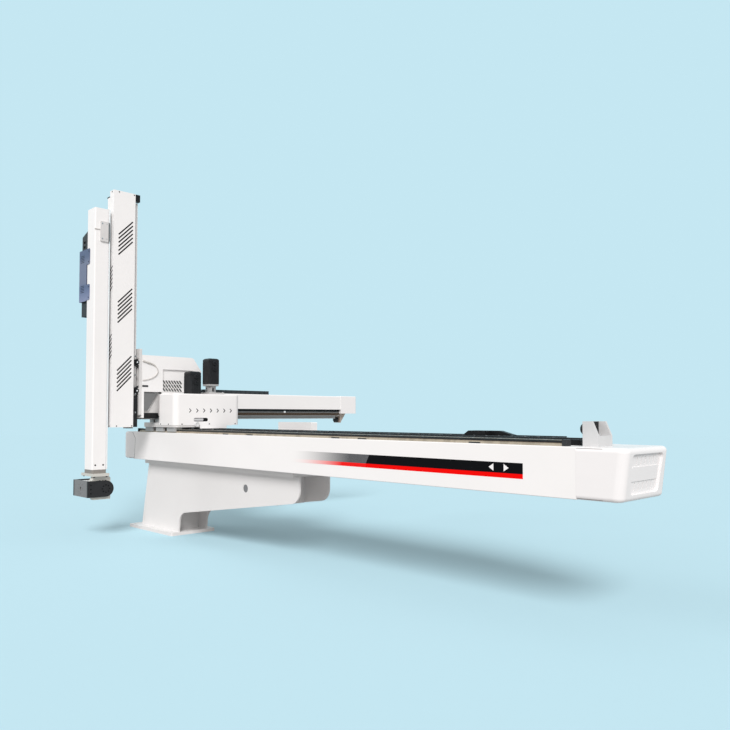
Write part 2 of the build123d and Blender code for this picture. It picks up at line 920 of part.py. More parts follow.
# Sheet cover over the drives: open below and towards the kick beam
post_places = [
    (kick_motor_x - motor_post_left, kick_motor_y - motor_post_front),
    (kick_motor_x + motor_post_right, kick_motor_y - motor_post_front),
    (kick_motor_x + motor_post_right, kick_motor_y + motor_post_back),
]
with BuildPart() as carriage_cover:
    with BuildSketch(Plane.XY.offset(cover_bottom)) as cover_plan:
        with BuildLine():
            FilletPolyline(
                (cover_left, -cover_front),
                (cover_right, -cover_front),
                (cover_right, cover_back),
                (cover_left, cover_back),
                radius=[cover_corner / 2, cover_corner, cover_corner, 0],
                close=True,
            )
        make_face()
    extrude(amount=cover_height)
    fillet(carriage_cover.faces().sort_by(Axis.Z)[-1].edges().filter_by(Axis.Y), cover_top_radius)
    inner_x = (cover_left - cover_wall, cover_right - cover_wall)
    inner_y = (-cover_front + cover_wall, cover_back - cover_wall)
    inner_z = (cover_bottom, cover_top - cover_wall)
    with BuildSketch(Plane.XY.offset(inner_z[0])) as inner_plan:
        with BuildLine():
            FilletPolyline(
                (inner_x[0], inner_y[0]),
                (inner_x[1], inner_y[0]),
                (inner_x[1], inner_y[1]),
                (inner_x[0], inner_y[1]),
                radius=[0, cover_corner - cover_wall, cover_corner - cover_wall, 0],
                close=True,
            )
        make_face()
    extrude(amount=inner_z[1] - inner_z[0] - cover_top_radius, mode=Mode.SUBTRACT)
    with BuildSketch(Plane.XY.offset(cover_top)) as motor_holes:
        with Locations((traverse_motor_x, traverse_motor_y)):
            motor_hole = motor_size + 2 * cover_hole_gap
            RectangleRounded(motor_hole, motor_hole, motor_corner)
        with Locations((kick_motor_x, kick_motor_y)):
            Circle(bearing_radius + cover_hole_gap)
        with Locations(*post_places):
            Circle(motor_post_radius + cover_hole_gap)
    extrude(amount=-cover_height / 4, mode=Mode.SUBTRACT)
    slot_centre = [(cover_slot_y, cover_bottom + cover_slot_lift)]
    slots("x", inner_x[1], cover_right, slot_centre, cover_slot_length, cover_slot_height, 0)
save(carriage_cover, "carriage_cover")

# Angle bracket that ties the carriage to the drag chain behind the beam
with BuildPart() as chain_bracket:
    bracket_x = (plate_right, plate_right + chain_bracket_thickness)
    bracket_top = cover_bottom - seat_gap
    bar(bracket_x, (chain_bracket_front, plate_back),
        (plate_bottom - chain_bracket_drop, bracket_top))
    foot_x = (plate_right - chain_bracket_foot, bracket_x[1])
    bar(foot_x, (plate_back, plate_back + chain_bracket_reach),
        (bracket_top - chain_bracket_thickness, bracket_top))
save(chain_bracket, "chain_bracket")

# Four guide blocks of the kick axis, upside down on spacers on the carriage plate
kick_rail_x = (kick_middle - kick_rail_spacing / 2, kick_middle + kick_rail_spacing / 2)
with BuildPart() as kick_blocks:
    for rail_x in kick_rail_x:
        for y in (kick_front_block, kick_rear_block):
            span = (y, y + kick_block_length)
            bar((rail_x - block_width / 2, rail_x + block_width / 2), span,
                (plate_top, plate_top + kick_spacer))
            guide_block("y", span[0], span[1], rail_x, kick_bottom, -1)
save(kick_blocks, "kick_guide_blocks")

# Stop block at the back edge of the carriage plate, which the kick bumper meets
with BuildPart() as kick_stop:
    stop_side = kick_block_width / 2
    bar((kick_middle - stop_side, kick_middle + stop_side),
        (plate_back - kick_stop_thickness, plate_back), (plate_top, plate_top + kick_stop_rise))
save(kick_stop, "kick_stop_block")

# Two servo motors: ribbed body, cap and two plug sockets
motor_places = (
    (traverse_motor_x, traverse_motor_y, traverse_motor_z),
    (kick_motor_x, kick_motor_y, kick_motor_z),
)
with BuildPart() as motors:
    for x, y, z in motor_places:
        body_top = z + motor_body_height
        with BuildSketch(Plane.XY.offset(z)):
            with Locations((x, y)):
                RectangleRounded(motor_size, motor_size, motor_corner)
                groove_pitch = (motor_size - 2 * motor_corner) / motor_groove_count
                with GridLocations(groove_pitch, motor_size, motor_groove_count, 2):
                    Rectangle(motor_groove_width, 2 * motor_groove_depth, mode=Mode.SUBTRACT)
                with GridLocations(motor_size, groove_pitch, 2, motor_groove_count):
                    Rectangle(2 * motor_groove_depth, motor_groove_width, mode=Mode.SUBTRACT)
        extrude(amount=motor_body_height)
        with BuildSketch(Plane.XY.offset(body_top)):
            with Locations((x, y)):
                cap_size = motor_size - 2 * motor_cap_inset
                RectangleRounded(cap_size, cap_size, motor_corner)
        extrude(amount=motor_cap_height)
        plug_x = x + motor_size / 2
        plug_z = body_top - 2 * motor_plug_height
        for lift in (0, motor_plug_pitch):
            bar((plug_x - motor_groove_depth, plug_x + motor_plug_depth),
                (y - motor_plug_size / 2, y + motor_plug_size / 2),
                (plug_z - lift, plug_z - lift + motor_plug_height))
save(motors, "servo_motors")

# Base plate of the kick motor on three posts that stand on the carriage plate
kick_here = [(kick_motor_x, kick_motor_y)]
with BuildPart() as motor_base:
    base_x = (kick_motor_x - motor_base_left, kick_motor_x - motor_base_left + motor_base_length)
    base_y = (kick_motor_y - motor_base_front, kick_motor_y + motor_base_back)
    base_z = (cover_top + seat_gap, cover_top + motor_base_thickness)
    bar(base_x, base_y, base_z)
    rods("z", plate_top, base_z[0], post_places, motor_post_radius)
    rods("z", base_z[0], base_z[1], kick_here, bearing_radius, mode=Mode.SUBTRACT)
save(motor_base, "kick_motor_base")

# Round neck with windows between the base plate and the kick motor's flange
with BuildPart() as neck:
    neck_bottom = base_z[1]
    neck_top = kick_motor_z - kick_flange_thickness
    rods("z", neck_bottom, neck_top, kick_here, neck_radius)
    rods("z", neck_bottom, neck_top, kick_here, neck_radius - neck_wall, mode=Mode.SUBTRACT)
    with BuildSketch(Plane.XY.offset(neck_bottom + (neck_top - neck_bottom) / 6)):
        with Locations(kick_here[0]):
            for turn in (0, 90):
                Rectangle(2 * neck_radius + 2, neck_window_width, rotation=turn)
    extrude(amount=neck_window_height, mode=Mode.SUBTRACT)
    with BuildSketch(Plane.XY.offset(neck_top)):
        with Locations(kick_here[0]):
            RectangleRounded(motor_size, motor_size, motor_corner)
    extrude(amount=kick_flange_thickness)
save(neck, "kick_motor_neck")

# Planetary gearbox of the traverse motor, and the bearing housing of the kick pinion
with BuildPart() as housings:
    gearbox_top = traverse_motor_z - gearbox_flange_thickness
    rods("z", plate_top, gearbox_top, traverse_here, gearbox_radius)
    with BuildSketch(Plane.XY.offset(gearbox_top)):
        with Locations(traverse_here[0]):
            RectangleRounded(gearbox_flange_size, gearbox_flange_size, motor_corner)
    extrude(amount=gearbox_flange_thickness)
    bearing_bottom = base_z[1] - bearing_drop
    rods("z", bearing_bottom, base_z[1], kick_here, bearing_radius)
    shaft_bore = pinion_shaft_radius + shaft_gap
    rods("z", plate_top, plate_top + gearbox_bore_depth, traverse_here, shaft_bore,
         mode=Mode.SUBTRACT)
    rods("z", bearing_bottom, base_z[1], kick_here, shaft_bore, mode=Mode.SUBTRACT)
save(housings, "drive_housings")

# Pinions with their shafts
with BuildPart() as traverse_pinion:
    outline = [(traverse_motor_x + x, traverse_motor_y + y) for x, y in pinion_outline(-90)]
    pinion_z = beam_top + pinion_lift
    prism("z", pinion_z, pinion_z + gear_width, outline)
    rods("z", pinion_z + gear_width, plate_top + gearbox_bore_depth - shaft_end_gap, traverse_here,
         pinion_shaft_radius)
save(traverse_pinion, "traverse_pinion")

with BuildPart() as kick_pinion:
    outline = [(kick_motor_x + x, kick_motor_y + y) for x, y in pinion_outline(180)]
    prism("z", gear_z, gear_z + gear_width, outline)
    rods("z", gear_z + gear_width, base_z[1] - kick_shaft_gap, kick_here,
         pinion_shaft_radius)
save(kick_pinion, "kick_pinion")

# Kick beam: a rectangular extrusion with a flat foot strip and side slots
with BuildPart() as kick_beam:
    with BuildSketch(Plane.XZ.offset(kick_beam_front)):
        with Locations((kick_middle, kick_bottom + kick_beam_height / 2)):
            Rectangle(kick_beam_width, kick_beam_height)
            Rectangle(kick_beam_width - 2 * kick_beam_wall, kick_beam_height - 2 * kick_beam_wall,
                      mode=Mode.SUBTRACT)
    extrude(amount=-(kick_beam_front + kick_beam_back))
save(kick_beam, "kick_beam")

# White side cover: an inverted U over the kick beam
cover_low_x = -kick_beam_left - kick_cover_overlap
cover_high_x = kick_right + kick_cover_side
with BuildPart() as kick_cover:
    cover_peak = kick_top + kick_cover_top_gap + kick_cover_wall
    skirt = cover_peak - kick_cover_height
    rounded_bar("y", -kick_cover_front, kick_beam_back, (cover_low_x, cover_high_x),
                (skirt - kick_cover_radius, cover_peak), kick_cover_radius)
    bar((cover_low_x, cover_high_x), (-kick_cover_front, kick_beam_back),
        (skirt - kick_cover_radius, skirt), mode=Mode.SUBTRACT)
    bar((cover_low_x + kick_cover_wall, cover_high_x - kick_cover_wall),
        (-kick_cover_front, kick_beam_back), (skirt, cover_peak - kick_cover_wall),
        mode=Mode.SUBTRACT)
save(kick_cover, "kick_side_cover")

# Rails on the underside of the kick beam
with BuildPart() as kick_rails:
    for rail_x in kick_rail_x:
        section = [(rail_x + u, kick_bottom - v) for u, v in rail_profile]
        prism("y", -kick_beam_front, kick_rail_back, section)
save(kick_rails, "kick_rails")

# Rack along the kick beam's side, with its teeth towards the pinion
with BuildPart() as kick_rack:
    back = kick_right - kick_pitch_x
    points = rack_outline(kick_rack_front, kick_rack_back, back, kick_motor_y)
    points = [(kick_pitch_x + v, y) for y, v in points]
    prism("z", gear_z, gear_z + gear_width, points)
save(kick_rack, "kick_rack")

# Far end cap of the kick beam
with BuildPart() as kick_cap:
    cap_x = (cover_low_x - kick_cap_side, cover_high_x + kick_cap_side)
    cap_z = (kick_bottom + kick_cap_bottom, kick_bottom + kick_cap_top)
    bar(cap_x, (kick_beam_back, kick_beam_back + kick_cap_length), cap_z)
    end = kick_cap.faces().sort_by(Axis.Y)[-1]
    fillet(end.edges().filter_by(Axis.Z), kick_cap_radius)
    fillet(kick_cap.faces().sort_by(Axis.Z)[-1].edges().filter_by(Axis.Y), kick_cap_radius / 2)
save(kick_cap, "kick_end_cap")

# Stop bracket below the far end of the kick beam
with BuildPart() as kick_stop_bracket:
    bracket_x = (kick_middle - kick_stop_width / 2, kick_middle + kick_stop_width / 2)
    bracket_start = kick_beam_back + kick_bumper_length
    bracket_low = kick_bumper_z - kick_bumper_radius - kick_bumper_edge
    cap_floor = kick_bottom + kick_cap_bottom
    bar(bracket_x, (bracket_start, bracket_start + kick_stop_plate), (bracket_low, cap_floor))
    gusset = [
        (bracket_start + kick_stop_plate, bracket_low + kick_stop_lip),
        (bracket_start + kick_stop_plate + kick_stop_foot, cap_floor),
        (bracket_start + kick_stop_plate, cap_floor),
    ]
    prism("x", bracket_x[0], bracket_x[0] + kick_stop_plate / 2, gusset)
    prism("x", bracket_x[1] - kick_stop_plate / 2, bracket_x[1], gusset)
save(kick_stop_bracket, "kick_stop_bracket")

with BuildPart() as kick_bumper:
    rods("y", kick_beam_back, bracket_start, [(kick_middle, kick_bumper_z)], kick_bumper_radius)
    nose = kick_bumper.edges().filter_by(GeomType.CIRCLE).sort_by(Axis.Y)[0]
    chamfer(nose, kick_bumper_radius / 4)
save(kick_bumper, "kick_bumper")

# Drag chain lying on the kick beam, with a sloping front end
with BuildPart() as kick_chain:
    chain_slope = 1.5 * kick_chain_height
    outline = [
        (kick_chain_front, cover_peak),
        (kick_chain_front + chain_slope, cover_peak + kick_chain_height),
        (kick_chain_back, cover_peak + kick_chain_height),
        (kick_chain_back, cover_peak),
    ]
    chain_x = (kick_chain_x - kick_chain_width / 2, kick_chain_x + kick_chain_width / 2)
    prism("x", chain_x[0], chain_x[1], outline)
    link_room = kick_chain_back - kick_chain_front - chain_slope
    kick_links = int(link_room // chain_link_pitch)
    with BuildSketch(Plane.XY.offset(cover_peak + kick_chain_height)):
        with Locations((kick_chain_x, kick_chain_back - link_room / 2)):
            with GridLocations(0, chain_link_pitch, 1, kick_links):
                Rectangle(kick_chain_width, chain_link_gap)
    extrude(amount=-chain_link_depth, mode=Mode.SUBTRACT)
save(kick_chain, "kick_cable_chain")

# Front bracket on the kick beam's end: upright flange, top bar on its spacer, side gussets
with BuildPart() as front_bracket:
    flange_x = (-lift_plate_left, front_flange_right)
    bar(flange_x, (-flange_front, -flange_back), (front_flange_bottom, front_flange_top))
    bar_bottom = front_flange_top - front_bar_thickness
    bar(flange_x, (-flange_back, -front_bar_back), (bar_bottom, front_flange_top))
    spacer_x = (kick_middle - front_spacer_width / 2, kick_middle + front_spacer_width / 2)
    bar(spacer_x, (-flange_back, -kick_cover_front - seat_gap), (kick_top, bar_bottom))
    gusset = [
        (-flange_back, front_gusset_bottom),
        (-flange_back, bar_bottom),
        (-flange_back + front_gusset_depth, bar_bottom),
        (-flange_back + front_gusset_foot, front_gusset_bottom),
    ]
    prism("x", kick_right, kick_right + front_gusset_thickness, gusset)
    prism("x", -kick_beam_left - front_gusset_thickness, -kick_beam_left, gusset)
save(front_bracket, "front_bracket")

# Lift plate with its belt window, and ears with the pins of the two idlers
idler_y = -mast_back + belt_thickness + belt_gap + idler_radius
idler_heights = (idler_middle_z - idler_spacing / 2, idler_middle_z + idler_spacing / 2)
with BuildPart() as lift_plate:
    plate_x = (-lift_plate_left, lift_plate_right)
    rounded_bar("y", -lift_plate_front, -flange_front, plate_x,
                (lift_plate_bottom, lift_plate_top), lift_plate_corner)
    window_z = (idler_heights[0] - idler_radius - idler_window_gap,
                idler_heights[1] + idler_radius + idler_window_gap)
    rounded_bar("y", -lift_plate_front, -flange_front, (lift_window_left, lift_window_right),
                window_z, lift_plate_corner, mode=Mode.SUBTRACT)
    ear_x = (lift_window_right, lift_window_right + ear_thickness)
    for z in idler_heights:
        ear = [
            (-lift_plate_front, z - idler_radius),
            (idler_y - idler_bore, z - idler_bore),
            (idler_y - idler_bore, z + idler_bore),
            (-lift_plate_front, z + idler_radius),
        ]
        prism("x", ear_x[0], ear_x[1], ear)
        rods("x", pulley_left, ear_x[0], [(idler_y, z)], idler_bore)
save(lift_plate, "lift_plate")

# Guide blocks on the lift plate, which hold the mast's rails
mast_rail_places = (mast_rail_x, mast_rail_x + mast_rail_spacing)
with BuildPart() as lift_blocks:
    for x in mast_rail_places:
        for z in (lower_lift_block_z, upper_lift_block_z):
            guide_block("z", z, z + lift_block_length, x, -mast_back, 1)
save(lift_blocks, "lift_guide_blocks")

# Sheet cover over the lift motor: open in front and below, with a slotted recess
with BuildPart() as motor_cover:
    cover_side = [
        (-flange_front, front_flange_top),
        (-flange_front, motor_cover_top),
        (motor_cover_back - motor_cover_slope_length, motor_cover_top),
        (motor_cover_back, motor_cover_top - motor_cover_slope_drop),
        (motor_cover_back, cover_peak),
        (-front_bar_back, cover_peak),
        (-front_bar_back, front_flange_top),
    ]
    prism("x", -motor_cover_half, motor_cover_half, cover_side,
          [0, 0, 3 * motor_cover_radius, motor_cover_radius, 0, 0, 0])
    wall = motor_cover_wall
    inside = [
        (-flange_front, cover_peak - wall),
        (-flange_front, motor_cover_top - wall),
        (motor_cover_back - motor_cover_slope_length - wall, motor_cover_top - wall),
        (motor_cover_back - wall, motor_cover_top - motor_cover_slope_drop - wall),
        (motor_cover_back - wall, cover_peak - wall),
    ]
    inner_half_width = motor_cover_half - wall
    prism("x", -inner_half_width, inner_half_width, inside,
          [0, 0, 3 * motor_cover_radius, motor_cover_radius, 0], mode=Mode.SUBTRACT)
    recess_y = (-motor_cover_step, motor_cover_recess_back)
    recess_z = (motor_cover_recess_bottom, motor_cover_recess_top)
    recess_x = motor_cover_half - motor_cover_recess
    bar((recess_x - wall, motor_cover_half), (recess_y[0] - wall, recess_y[1] + wall),
        (recess_z[0] - wall, recess_z[1] + wall))
    bar((recess_x, motor_cover_half), recess_y, recess_z, mode=Mode.SUBTRACT)
    vent_centres = [
        (vent_middle_y + (column - (vent_columns - 1) / 2) * vent_pitch_y,
         vent_middle_z + (row - (vent_rows - 1) / 2) * vent_pitch_z)
        for row in range(vent_rows)
        for column in range(vent_columns)
    ]
    vent_angle = -degrees(atan2(vent_rise, vent_run))
    slots("x", recess_x - wall, recess_x, vent_centres, hypot(vent_rise, vent_run),
          vent_width, vent_angle)
save(motor_cover, "lift_motor_cover")

# Lift gearbox and motor, seated on the back of the lift plate
drive_y = -flange_front + lift_gearbox_size / 2
drive_here = [(drive_y, idler_middle_z)]
half_box = lift_gearbox_size / 2
box_y = (-flange_front, -flange_front + lift_gearbox_size)
box_z = (idler_middle_z - half_box, idler_middle_z + half_box)
with BuildPart() as lift_gearmotor:
    gearbox_left = lift_gearbox_right - lift_gearbox_length
    rounded_bar("x", gearbox_left, lift_gearbox_right, box_y, box_z, motor_corner)
    rods("x", gearbox_left + half_box, lift_gearbox_right, drive_here,
         lift_shaft_radius + shaft_gap, mode=Mode.SUBTRACT)
    motor_y = (box_y[0] + motor_cap_inset, box_y[1] - motor_cap_inset)
    motor_z = (box_z[0] + motor_cap_inset, box_z[1] - motor_cap_inset)
    rounded_bar("x", gearbox_left - lift_motor_length, gearbox_left, motor_y, motor_z,
                motor_corner)
save(lift_gearmotor, "lift_gearmotor")


def flanged_pulley(middle, radius, x, width, bore, flange):
    """A pulley along x with a flange at each side."""
    rods("x", x, x + width, [middle], radius)
    for side in (x, x + width - 1):
        rods("x", side, side + 1, [middle], radius + flange)
    if bore:
        rods("x", x, x + width, [middle], bore + shaft_gap, mode=Mode.SUBTRACT)


with BuildPart() as drive_pulley:
    flanged_pulley(drive_here[0], drive_pulley_radius, pulley_left, pulley_width, 0, 0)
    rods("x", gearbox_left + half_box + 5, pulley_left, drive_here, lift_shaft_radius)
save(drive_pulley, "lift_drive_pulley")

for name, z in (("lift_idler_lower", idler_heights[0]), ("lift_idler_upper", idler_heights[1])):
    with BuildPart() as idler:
        flanged_pulley((idler_y, z), idler_radius, pulley_left, pulley_width, idler_bore, 0)
    save(idler, name)

# Belt loop from the idlers back round the drive pulley
idler_path = idler_radius + belt_gap + belt_thickness / 2
drive_path = drive_pulley_radius + belt_gap + belt_thickness / 2
reach_y = drive_y - idler_y
reach_z = idler_spacing / 2
straight = sqrt(reach_y**2 + reach_z**2 - (idler_path + drive_path) ** 2)
heading = atan2(-reach_z, reach_y)
turn = heading - atan2(straight, idler_path + drive_path)
leave = degrees(turn) + 360
start_angle = 180 + degrees(acos(idler_radius / (idler_path + belt_thickness / 2)))
belt_x = pulley_left + (pulley_width - belt_width) / 2
with BuildPart() as belt_loop:
    with BuildSketch(Plane.YZ.offset(belt_x)):
        with BuildLine():
            upper = CenterArc((idler_y, idler_heights[1]), idler_path, start_angle,
                              leave - start_angle)
            round_drive = CenterArc(drive_here[0], drive_path, leave - 180,
                                    -2 * (leave - 180))
            lower = CenterArc((idler_y, idler_heights[0]), idler_path, 360 - leave,
                              leave - start_angle)
            Line(upper @ 1, round_drive @ 0)
            Line(round_drive @ 1, lower @ 0)
        trace(line_width=belt_thickness)
    extrude(amount=belt_width)
save(belt_loop, "lift_belt_loop")

# Motor wire looped on the side of the cover, held by a bush at each end
wire_x = motor_cover_half + wire_radius + seat_gap
wire_points = [(y, idler_middle_z + lift) for y, lift in wire_route]
with BuildPart() as motor_wire:
    with BuildLine(Plane.YZ.offset(wire_x)) as wire_path:
        FilletPolyline(*wire_points, radius=wire_bends)
    with BuildSketch(Plane(wire_path.line @ 0, z_dir=wire_path.line % 0)):
        Circle(wire_radius)
    sweep()
    for y, z in (wire_points[0], wire_points[-1]):
        bar((motor_cover_half, wire_x + 2 * wire_radius), (y - wire_bush, y + wire_radius),
            (z - 2 * wire_radius, z + 2 * wire_radius))
save(motor_wire, "motor_wire")

# Mast profile: a closed pocket, an open pocket for the transfer belt, and pulley pins
mast_y = (-mast_front, -mast_back)
transfer_x = (mast_web_x, mast_right)
transfer_y = -(mast_front + mast_back) / 2
transfer_heights = (mast_bottom + transfer_end_gap, mast_top - transfer_end_gap)
transfer_pin_end = transfer_pulley_left + transfer_pulley_width + 3
with BuildPart() as mast:
    bar((-mast_left, mast_right), mast_y, (mast_bottom, mast_top))
    pocket_y = (mast_y[0] + mast_wall, mast_y[1] - mast_wall)
    bar((-mast_left + mast_wall, mast_web_x - mast_wall), pocket_y, (mast_bottom, mast_top),
        mode=Mode.SUBTRACT)
    bar(transfer_x, pocket_y, (mast_bottom, mast_top), mode=Mode.SUBTRACT)
    bar((-mast_left, mast_right - mast_flange_width), (mast_y[0], pocket_y[1]),
        (mast_front_top, mast_top), mode=Mode.SUBTRACT)
    bar((-mast_left, mast_notch_right), (mast_y[0], mast_y[0] + mast_notch_depth),
        (mast_front_top - mast_notch_height, mast_front_top), mode=Mode.SUBTRACT)
    for z in transfer_heights:
        rods("x", mast_web_x, transfer_pin_end, [(transfer_y, z)], transfer_pulley_bore)
save(mast, "mast_profile")

# Slotted cover sheet on the mast's open side, bent round its front edge
with BuildPart() as mast_cover:
    sheet_x = (mast_right, mast_right + mast_cover_thickness)
    sheet_y = (-mast_front - mast_cover_thickness, -mast_back)
    bar(sheet_x, sheet_y, (mast_bottom, mast_top))
    bar((mast_right - mast_flange_width, mast_right), (sheet_y[0], -mast_front),
        (mast_bottom, mast_top))
    slot_length = hypot(slot_rise, slot_run)
    slot_angle = degrees(atan2(slot_rise, slot_run))
    slot_places = [
        (slot_middle_y, slot_first_z - slot_rise / 2 - group * slot_group_pitch - row * slot_pitch)
        for group in range(slot_groups)
        for row in range(slots_in_group)
    ]
    slots("x", sheet_x[0], sheet_x[1], slot_places, slot_length, slot_width, slot_angle)
    flange_slot_places = [
        (flange_slot_x,
         flange_slot_z - flange_slot_rise / 2 - group * slot_group_pitch - row * slot_pitch)
        for group in range(flange_slot_groups)
        for row in range(slots_in_group)
    ]
    slots("y", sheet_y[0], -mast_front, flange_slot_places, hypot(flange_slot_rise, flange_slot_run),
          slot_width, degrees(atan2(flange_slot_rise, flange_slot_run)))
save(mast_cover, "mast_cover")

# Rails on the back of the mast
with BuildPart() as mast_rails:
    for rail_x in mast_rail_places:
        section = [(rail_x + u, -mast_back + v) for u, v in rail_profile]
        prism("z", mast_bottom + mast_rail_end_gap, mast_top - mast_rail_end_gap, section)
save(mast_rails, "mast_rails")

# Guard strip beside the drive belt
belt_z = (mast_bottom + mast_rail_end_gap, mast_top - mast_stop_height - mast_rail_end_gap)
with BuildPart() as belt_guard:
    bar((belt_guard_left, belt_guard_left + belt_guard_width),
        (-mast_back, -mast_back + belt_guard_depth), belt_z)
save(belt_guard, "belt_guard")

# Stop blocks at the mast's ends
with BuildPart() as mast_stops:
    stop = mast_stop_size
    bar((mast_right - mast_stop_width, mast_right), (-mast_back, -mast_back + stop),
        (mast_top - mast_stop_height, mast_top))
    bar((mast_notch_right - stop / 4, mast_notch_right + stop),
        (-mast_front, -mast_front + stop / 4), (mast_front_top, mast_front_top + stop / 4))
    bar((mast_right - 2 * stop, mast_right), (-mast_back - stop, -mast_back),
        (mast_bottom - mast_foot_height, mast_bottom))
save(mast_stops, "mast_stops")

# Small guide blocks on the front of the mast, which hold the arm's rails
arm_rail_places = (0, arm_rail_spacing)
with BuildPart() as arm_blocks:
    for x in arm_rail_places:
        for z in (lower_arm_block_z, upper_arm_block_z):
            guide_block("z", z, z + arm_block_length, x, -tube_back, 1, small_guide)
save(arm_blocks, "arm_guide_blocks")

# Transfer pulleys inside the mast
transfer_names = ("transfer_pulley_lower", "transfer_pulley_upper")
for name, z in zip(transfer_names, transfer_heights):
    with BuildPart() as transfer_pulley:
        flanged_pulley((transfer_y, z), transfer_pulley_radius, transfer_pulley_left,
                       transfer_pulley_width, transfer_pulley_bore, 0)
    save(transfer_pulley, name)

# Transfer belt round its pulleys, and the drive belt along the mast's back
with BuildPart() as mast_belts:
    loop_x = transfer_pulley_left + (transfer_pulley_width - belt_width) / 2
    loop_middle = (transfer_heights[0] + transfer_heights[1]) / 2
    loop_reach = transfer_heights[1] - transfer_heights[0]
    loop_radius = transfer_pulley_radius + belt_gap
    with BuildSketch(Plane.YZ.offset(loop_x)):
        with Locations((transfer_y, loop_middle)):
            outer = loop_radius + belt_thickness
            SlotCenterToCenter(loop_reach, 2 * outer, rotation=90)
            SlotCenterToCenter(loop_reach, 2 * loop_radius, rotation=90, mode=Mode.SUBTRACT)
    extrude(amount=belt_width)
    bar((belt_x, belt_x + belt_width), (-mast_back, -mast_back + belt_thickness), belt_z)
save(mast_belts, "mast_belts")

# Arm tube with two fixing holes near its foot
with BuildPart() as arm_tube:
    tube_x = (-tube_left, tube_right)
    tube_y = (-tube_front, -tube_back)
    rounded_bar("z", tube_bottom, tube_top, tube_x, tube_y, tube_radius)
    rounded_bar("z", tube_bottom, tube_top, (tube_x[0] + tube_wall, tube_x[1] - tube_wall),
                (tube_y[0] + tube_wall, tube_y[1] - tube_wall), tube_radius - tube_wall,
                mode=Mode.SUBTRACT)
    tube_middle_y = -(tube_front + tube_back) / 2
    holes = [(tube_middle_y + side * tube_hole_pitch / 2, tube_hole_z) for side in (-1, 1)]
    rods("x", tube_x[1] - tube_wall, tube_x[1], holes, tube_hole_radius, mode=Mode.SUBTRACT)
save(arm_tube, "arm_tube")

small_profile = [
    (-small_rail_width / 2, 0),
    (small_rail_width / 2, 0),
    (small_rail_width / 2, small_rail_height),
    (-small_rail_width / 2, small_rail_height),
]
with BuildPart() as arm_rails:
    for rail_x in arm_rail_places:
        section = [(rail_x + u, -tube_back + v) for u, v in small_profile]
        prism("z", tube_bottom + arm_rail_end_gap, tube_top - arm_rail_end_gap, section)
save(arm_rails, "arm_rails")

# Clamp plate of the transfer belt on the side of the tube
with BuildPart() as clamp_plate:
    clamp_front = -tube_front + clamp_front_gap
    rounded_bar("x", tube_right, tube_right + clamp_thickness,
                (clamp_front, clamp_front + clamp_width),
                (clamp_bottom, clamp_bottom + clamp_height), clamp_corner)
save(clamp_plate, "belt_clamp_plate")

# Cable channel on the left side of the tube: a U profile with a row of holes
channel_x = (-tube_left - channel_width, -tube_left)
channel_y = (tube_middle_y - channel_depth / 2, tube_middle_y + channel_depth / 2)
with BuildPart() as cable_channel:
    side = [
        (channel_x[0], channel_bottom),
        (channel_x[0], channel_top - channel_slope),
        (channel_x[1], channel_top),
        (channel_x[1], channel_bottom),
    ]
    prism("y", channel_y[0], channel_y[1], side)
    bar((channel_x[0] + channel_wall, channel_x[1]),
        (channel_y[0] + channel_wall, channel_y[1] - channel_wall),
        (channel_bottom, channel_top), mode=Mode.SUBTRACT)
    hole_x = channel_x[0] + channel_width / 3
    holes = [(hole_x, channel_top - 2 * channel_slope - index * channel_hole_pitch)
             for index in range(channel_hole_count)]
    with BuildSketch(start_plane("y", channel_y[0], channel_y[0] + channel_wall)):
        with Locations(*holes):
            RectangleRounded(channel_hole_width, channel_hole_height, channel_hole_corner)
    extrude(amount=channel_wall, mode=Mode.SUBTRACT)
save(cable_channel, "cable_channel")

# Valve box: a bent cover round the channel with two tabs on the tube's front
with BuildPart() as valve_box:
    box_x = (-tube_left - valve_box_width, -tube_left)
    box_z = (valve_box_bottom, valve_box_top)
    box_front = -tube_front - valve_wall
    bar(box_x, (box_front, -tube_front), box_z)
    bar((box_x[0], box_x[0] + valve_wall - seat_gap), (box_front, -valve_box_back), box_z)
    tab_rows = (valve_box_bottom + valve_tab_inset,
                valve_box_top - valve_tab_height)
    for z in tab_rows:
        tab_x = (box_x[1] - valve_tab_reach, box_x[1] + valve_tab_reach)
        rounded_bar("y", box_front, -tube_front, tab_x, (z, z + valve_tab_height),
                    valve_tab_corner)
save(valve_box, "valve_box")

# Adapter below the tube
with BuildPart() as adapter:
    rounded_bar("z", tube_bottom - adapter_height, tube_bottom, tube_x, tube_y, tube_radius)
save(adapter, "arm_adapter")

# Wrist hanger: flange and the plate that carries the flip unit's pivot
hanger_y = (-hanger_front, -hanger_back)
flange_bottom = tube_bottom - adapter_height - wrist_flange_thickness
corner_y = pivot_y - sqrt(sweep_radius**2 - (pivot_z - hanger_bottom) ** 2)
corner_z = pivot_z - sqrt(sweep_radius**2 - (pivot_y - hanger_y[0]) ** 2)
with BuildPart() as hanger:
    bar((-wrist_flange_left, wrist_flange_right), (-wrist_flange_front, -wrist_flange_back),
        (flange_bottom, flange_bottom + wrist_flange_thickness))
    outline = [
        (corner_y, hanger_bottom),
        (hanger_y[0], corner_z),
        (hanger_y[0], flange_bottom - 2 * hanger_step),
        (hanger_y[0] + hanger_step, flange_bottom),
        (hanger_y[1] - hanger_step, flange_bottom),
        (hanger_y[1], flange_bottom - hanger_step),
        (hanger_y[1], hanger_bottom),
    ]
    prism("x", hanger_left, hanger_right, outline)
    rods("x", hanger_left, hanger_right, [(pivot_y, pivot_z)], pivot_radius + shaft_gap,
         mode=Mode.SUBTRACT)
save(hanger, "wrist_hanger")

